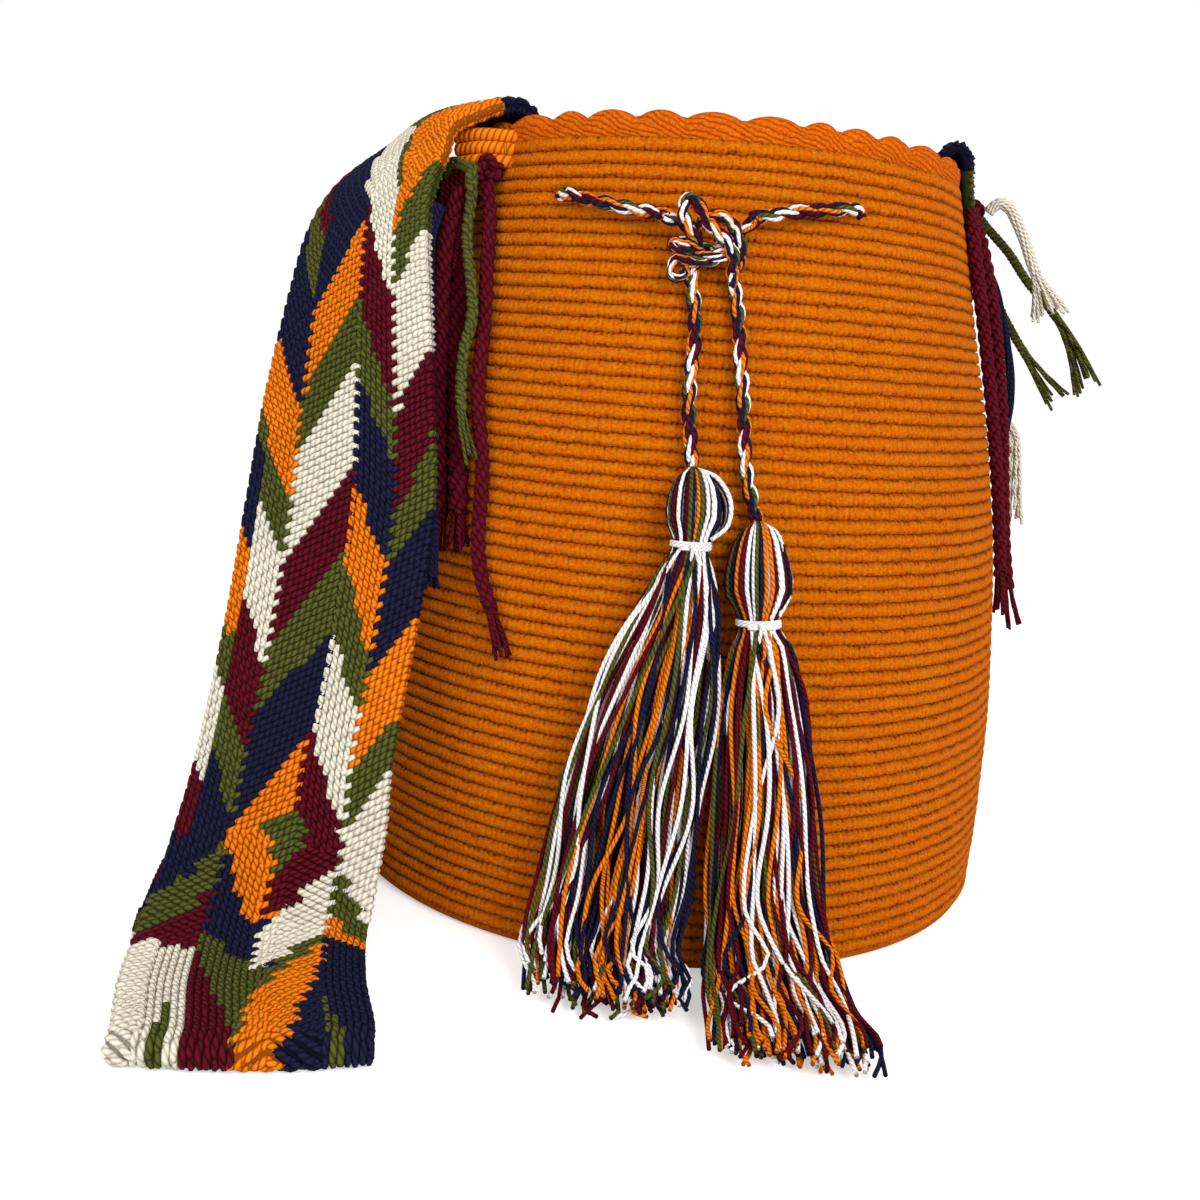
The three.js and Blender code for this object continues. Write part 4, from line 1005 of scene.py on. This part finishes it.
# The yarn over one place in the lattice: shallow floats lie across two columns, steep ones down two rows,
# each set half its length from its neighbours. Returns the float's yarn, its middle and whether it is steep
def floatAt(column, row):
    cellWidth = strap['width'] / strap['cells']

    def lookUp(columnPlace, rowPlace):
        across = columnPlace * cellWidth
        along = rowPlace * strap['rowHeight'] + float(zigzag(across / strap['width'] - 0.5))
        return bandAt(across, along)
    _, steep = lookUp(column + 0.5, row + 0.5)
    if steep:
        middle = (column + 0.5, row - (row + column) % 2 + 1.0)
    else:
        middle = (column - (column + row) % 2 + 1.0, row + 0.5)
    return lookUp(*middle)[0], middle, steep


# Each float arches over the yarns that it crosses, and dips at its two ends
floats = dict(reach=1.06, rise=0.5, dip=1.12, sharpness=2.4, sink=0.35, steepRadius=1.0, slantRadius=1.12)


def strapFloats(name, firstRow, lastRow, side, corners, places):
    cells = strap['cells']
    rng = random.Random(firstRow)
    seen = set()
    strands = []
    steps = np.linspace(-1, 1, places)
    lift = floats['rise'] - floats['dip'] * np.abs(steps) ** floats['sharpness']
    reach = floats['reach']
    for row in range(firstRow, lastRow):
        for column in range(cells):
            yarn, middle, steep = floatAt(column, row)
            if (middle, steep) in seen:
                continue
            seen.add((middle, steep))
            columns = middle[0] + (0 if steep else reach) * steps + (0.1 * steps if steep else 0)
            rows = middle[1] + (reach if steep else 0) * steps + rng.uniform(-0.05, 0.05)
            across = np.clip(columns / cells - 0.5, -0.497, 0.497)
            along = np.clip(rows * strap['rowHeight'] + zigzag(across), 0.5, strapLength - 0.5)
            base = bandPoint(across, along)
            out = bandNormal(across, along) * side
            edge = np.where(np.abs(across) > 0.485, 0.5, 0.0)
            points = base + out * (strap['thickness'] / 2 - floats['sink'] + lift - edge)[:, None]
            radius = floats['steepRadius' if steep else 'slantRadius'] * (1 + rng.uniform(-0.05, 0.05))
            strands.append((points, radius, yarnOrder.index(yarn)))
    return yarnPiece(name, strands, yarnList, sides=corners)


def strapBand():
    cells = strap['cells']
    rows = int(strapLength / strap['rowHeight'])
    loop = 2 * cells + 2
    mesh, layer, x, y = squareSheet(loop, rows)
    place = np.rint(x * loop).astype(int) % loop
    level = np.rint(y * rows).astype(int)
    outer = place <= cells
    across = np.where(outer, place, np.clip(loop - 1 - place, 0, cells)) / cells - 0.5
    along = np.clip(level * strap['rowHeight'] + zigzag(across), 0.0, strapLength)
    along = np.where(level == 0, 0, np.where(level == rows, strapLength, along))
    half = strap['thickness'] / 2
    depth = np.where(np.abs(across) > 0.4999, 0.55 * half, half + 0.05)
    points = bandPoint(across, along) + bandNormal(across, along) * (np.where(outer, 1, -1) * depth)[:, None]
    moveVertices(mesh, points)
    paint = mesh.loops.layers.float_color.new('yarn')
    colors = {name: linearColor(value) for name, value in yarnHex.items()}
    for face in mesh.faces:
        middle = [sum(corner[layer].uv[axis] for corner in face.loops) / 4 for axis in (0, 1)]
        column = math.floor(middle[0] * loop)
        if column > cells:
            column = max(loop - 2 - column, 0)
        yarn, _, _ = floatAt(min(column, cells - 1), math.floor(middle[1] * rows))
        for corner in face.loops:
            corner[paint] = colors[yarn]
    # the ground's material carries painted shade: the yarn's colour darkened between the floats
    ground = cottonMaterial('cotton band, ground between the braided yarns', groundLook, 0.9, 0.0005)
    return closedSheet('strap_band', mesh, 1e-7, [ground])


strapPiece = hangOn(strapBand(), 'strap_cotton', 'shoulder_strap')
lastRow = int(strapLength / strap['rowHeight']) - 4
# The shown face in front, then the face that shows once the strap has turned over on the floor:
# first and last row, face, sides of a yarn and points along it
runs = dict(upper=(0, 95, -1, 6, 5), lower=(95, 185, -1, 6, 5), turn=(185, 225, -1, 4, 3),
            under=(0, 185, 1, 4, 3), back=(185, 350, 1, 4, 3), end=(350, lastRow, 1, 4, 3))
floatPieces = [hangOn(strapFloats('strap_floats_' + name, *run), 'strap_cotton', 'shoulder_strap')
               for name, run in runs.items()]
print('strap made', round(strapLength))

# Floor, background and light: white to the camera, in gloss and through glass
floorMesh = bpy.data.meshes.new('floor')
builder = bmesh.new()
bmesh.ops.create_grid(builder, x_segments=1, y_segments=1, size=6.0)
builder.to_mesh(floorMesh)
builder.free()


def seenDirectly(tree):
    rays = addNode(tree, 'LightPath').outputs
    m = sums(tree)
    return m.maximum(rays['Is Camera Ray'], m.maximum(rays['Is Glossy Ray'], rays['Is Transmission Ray']))


floorMaterial = bpy.data.materials.new('plain white floor')
tree = clearTree(floorMaterial)
diffuse = addNode(tree, 'BsdfDiffuse', Color=(0.9, 0.9, 0.9, 1)).outputs[0]
glow = addNode(tree, 'Emission', Color=(1, 1, 1, 1), Strength=0.46).outputs[0]
both = addNode(tree, 'AddShader', i0=diffuse, i1=glow).outputs[0]
choice = addNode(tree, 'MixShader', i0=seenDirectly(tree), i1=diffuse, i2=both)
addNode(tree, 'OutputMaterial', i0=choice.outputs[0])
floor = addObject('floor', floorMesh, [floorMaterial])

world = bpy.data.worlds.new('world')
scene.world = world
tree = clearTree(world)
soft, white = (addNode(tree, 'Background', Color=(1, 1, 1, 1), Strength=strength).outputs[0]
               for strength in (0.62, 1.0))
choice = addNode(tree, 'MixShader', i0=seenDirectly(tree), i1=soft, i2=white)
addNode(tree, 'OutputWorld', i0=choice.outputs[0])

lampAim = np.array([0, 0, 0.12])
lamps = [dict(name='key', place=(0.7, -1.15, 0.95), size=0.8, power=18.5),
         dict(name='fill', place=(-1.0, -0.9, 0.9), size=1.2, power=8)]
for lamp in lamps:
    light = bpy.data.lights.new(lamp['name'], 'AREA')
    light.energy = lamp['power']
    light.size = lamp['size']
    holder = bpy.data.objects.new(lamp['name'], light)
    direction = lampAim - lamp['place']
    holder.rotation_euler = Vector(direction).to_track_quat('-Z', 'Y').to_euler()
    holder.location = lamp['place']
    scene.collection.objects.link(holder)
print('floor and light made')
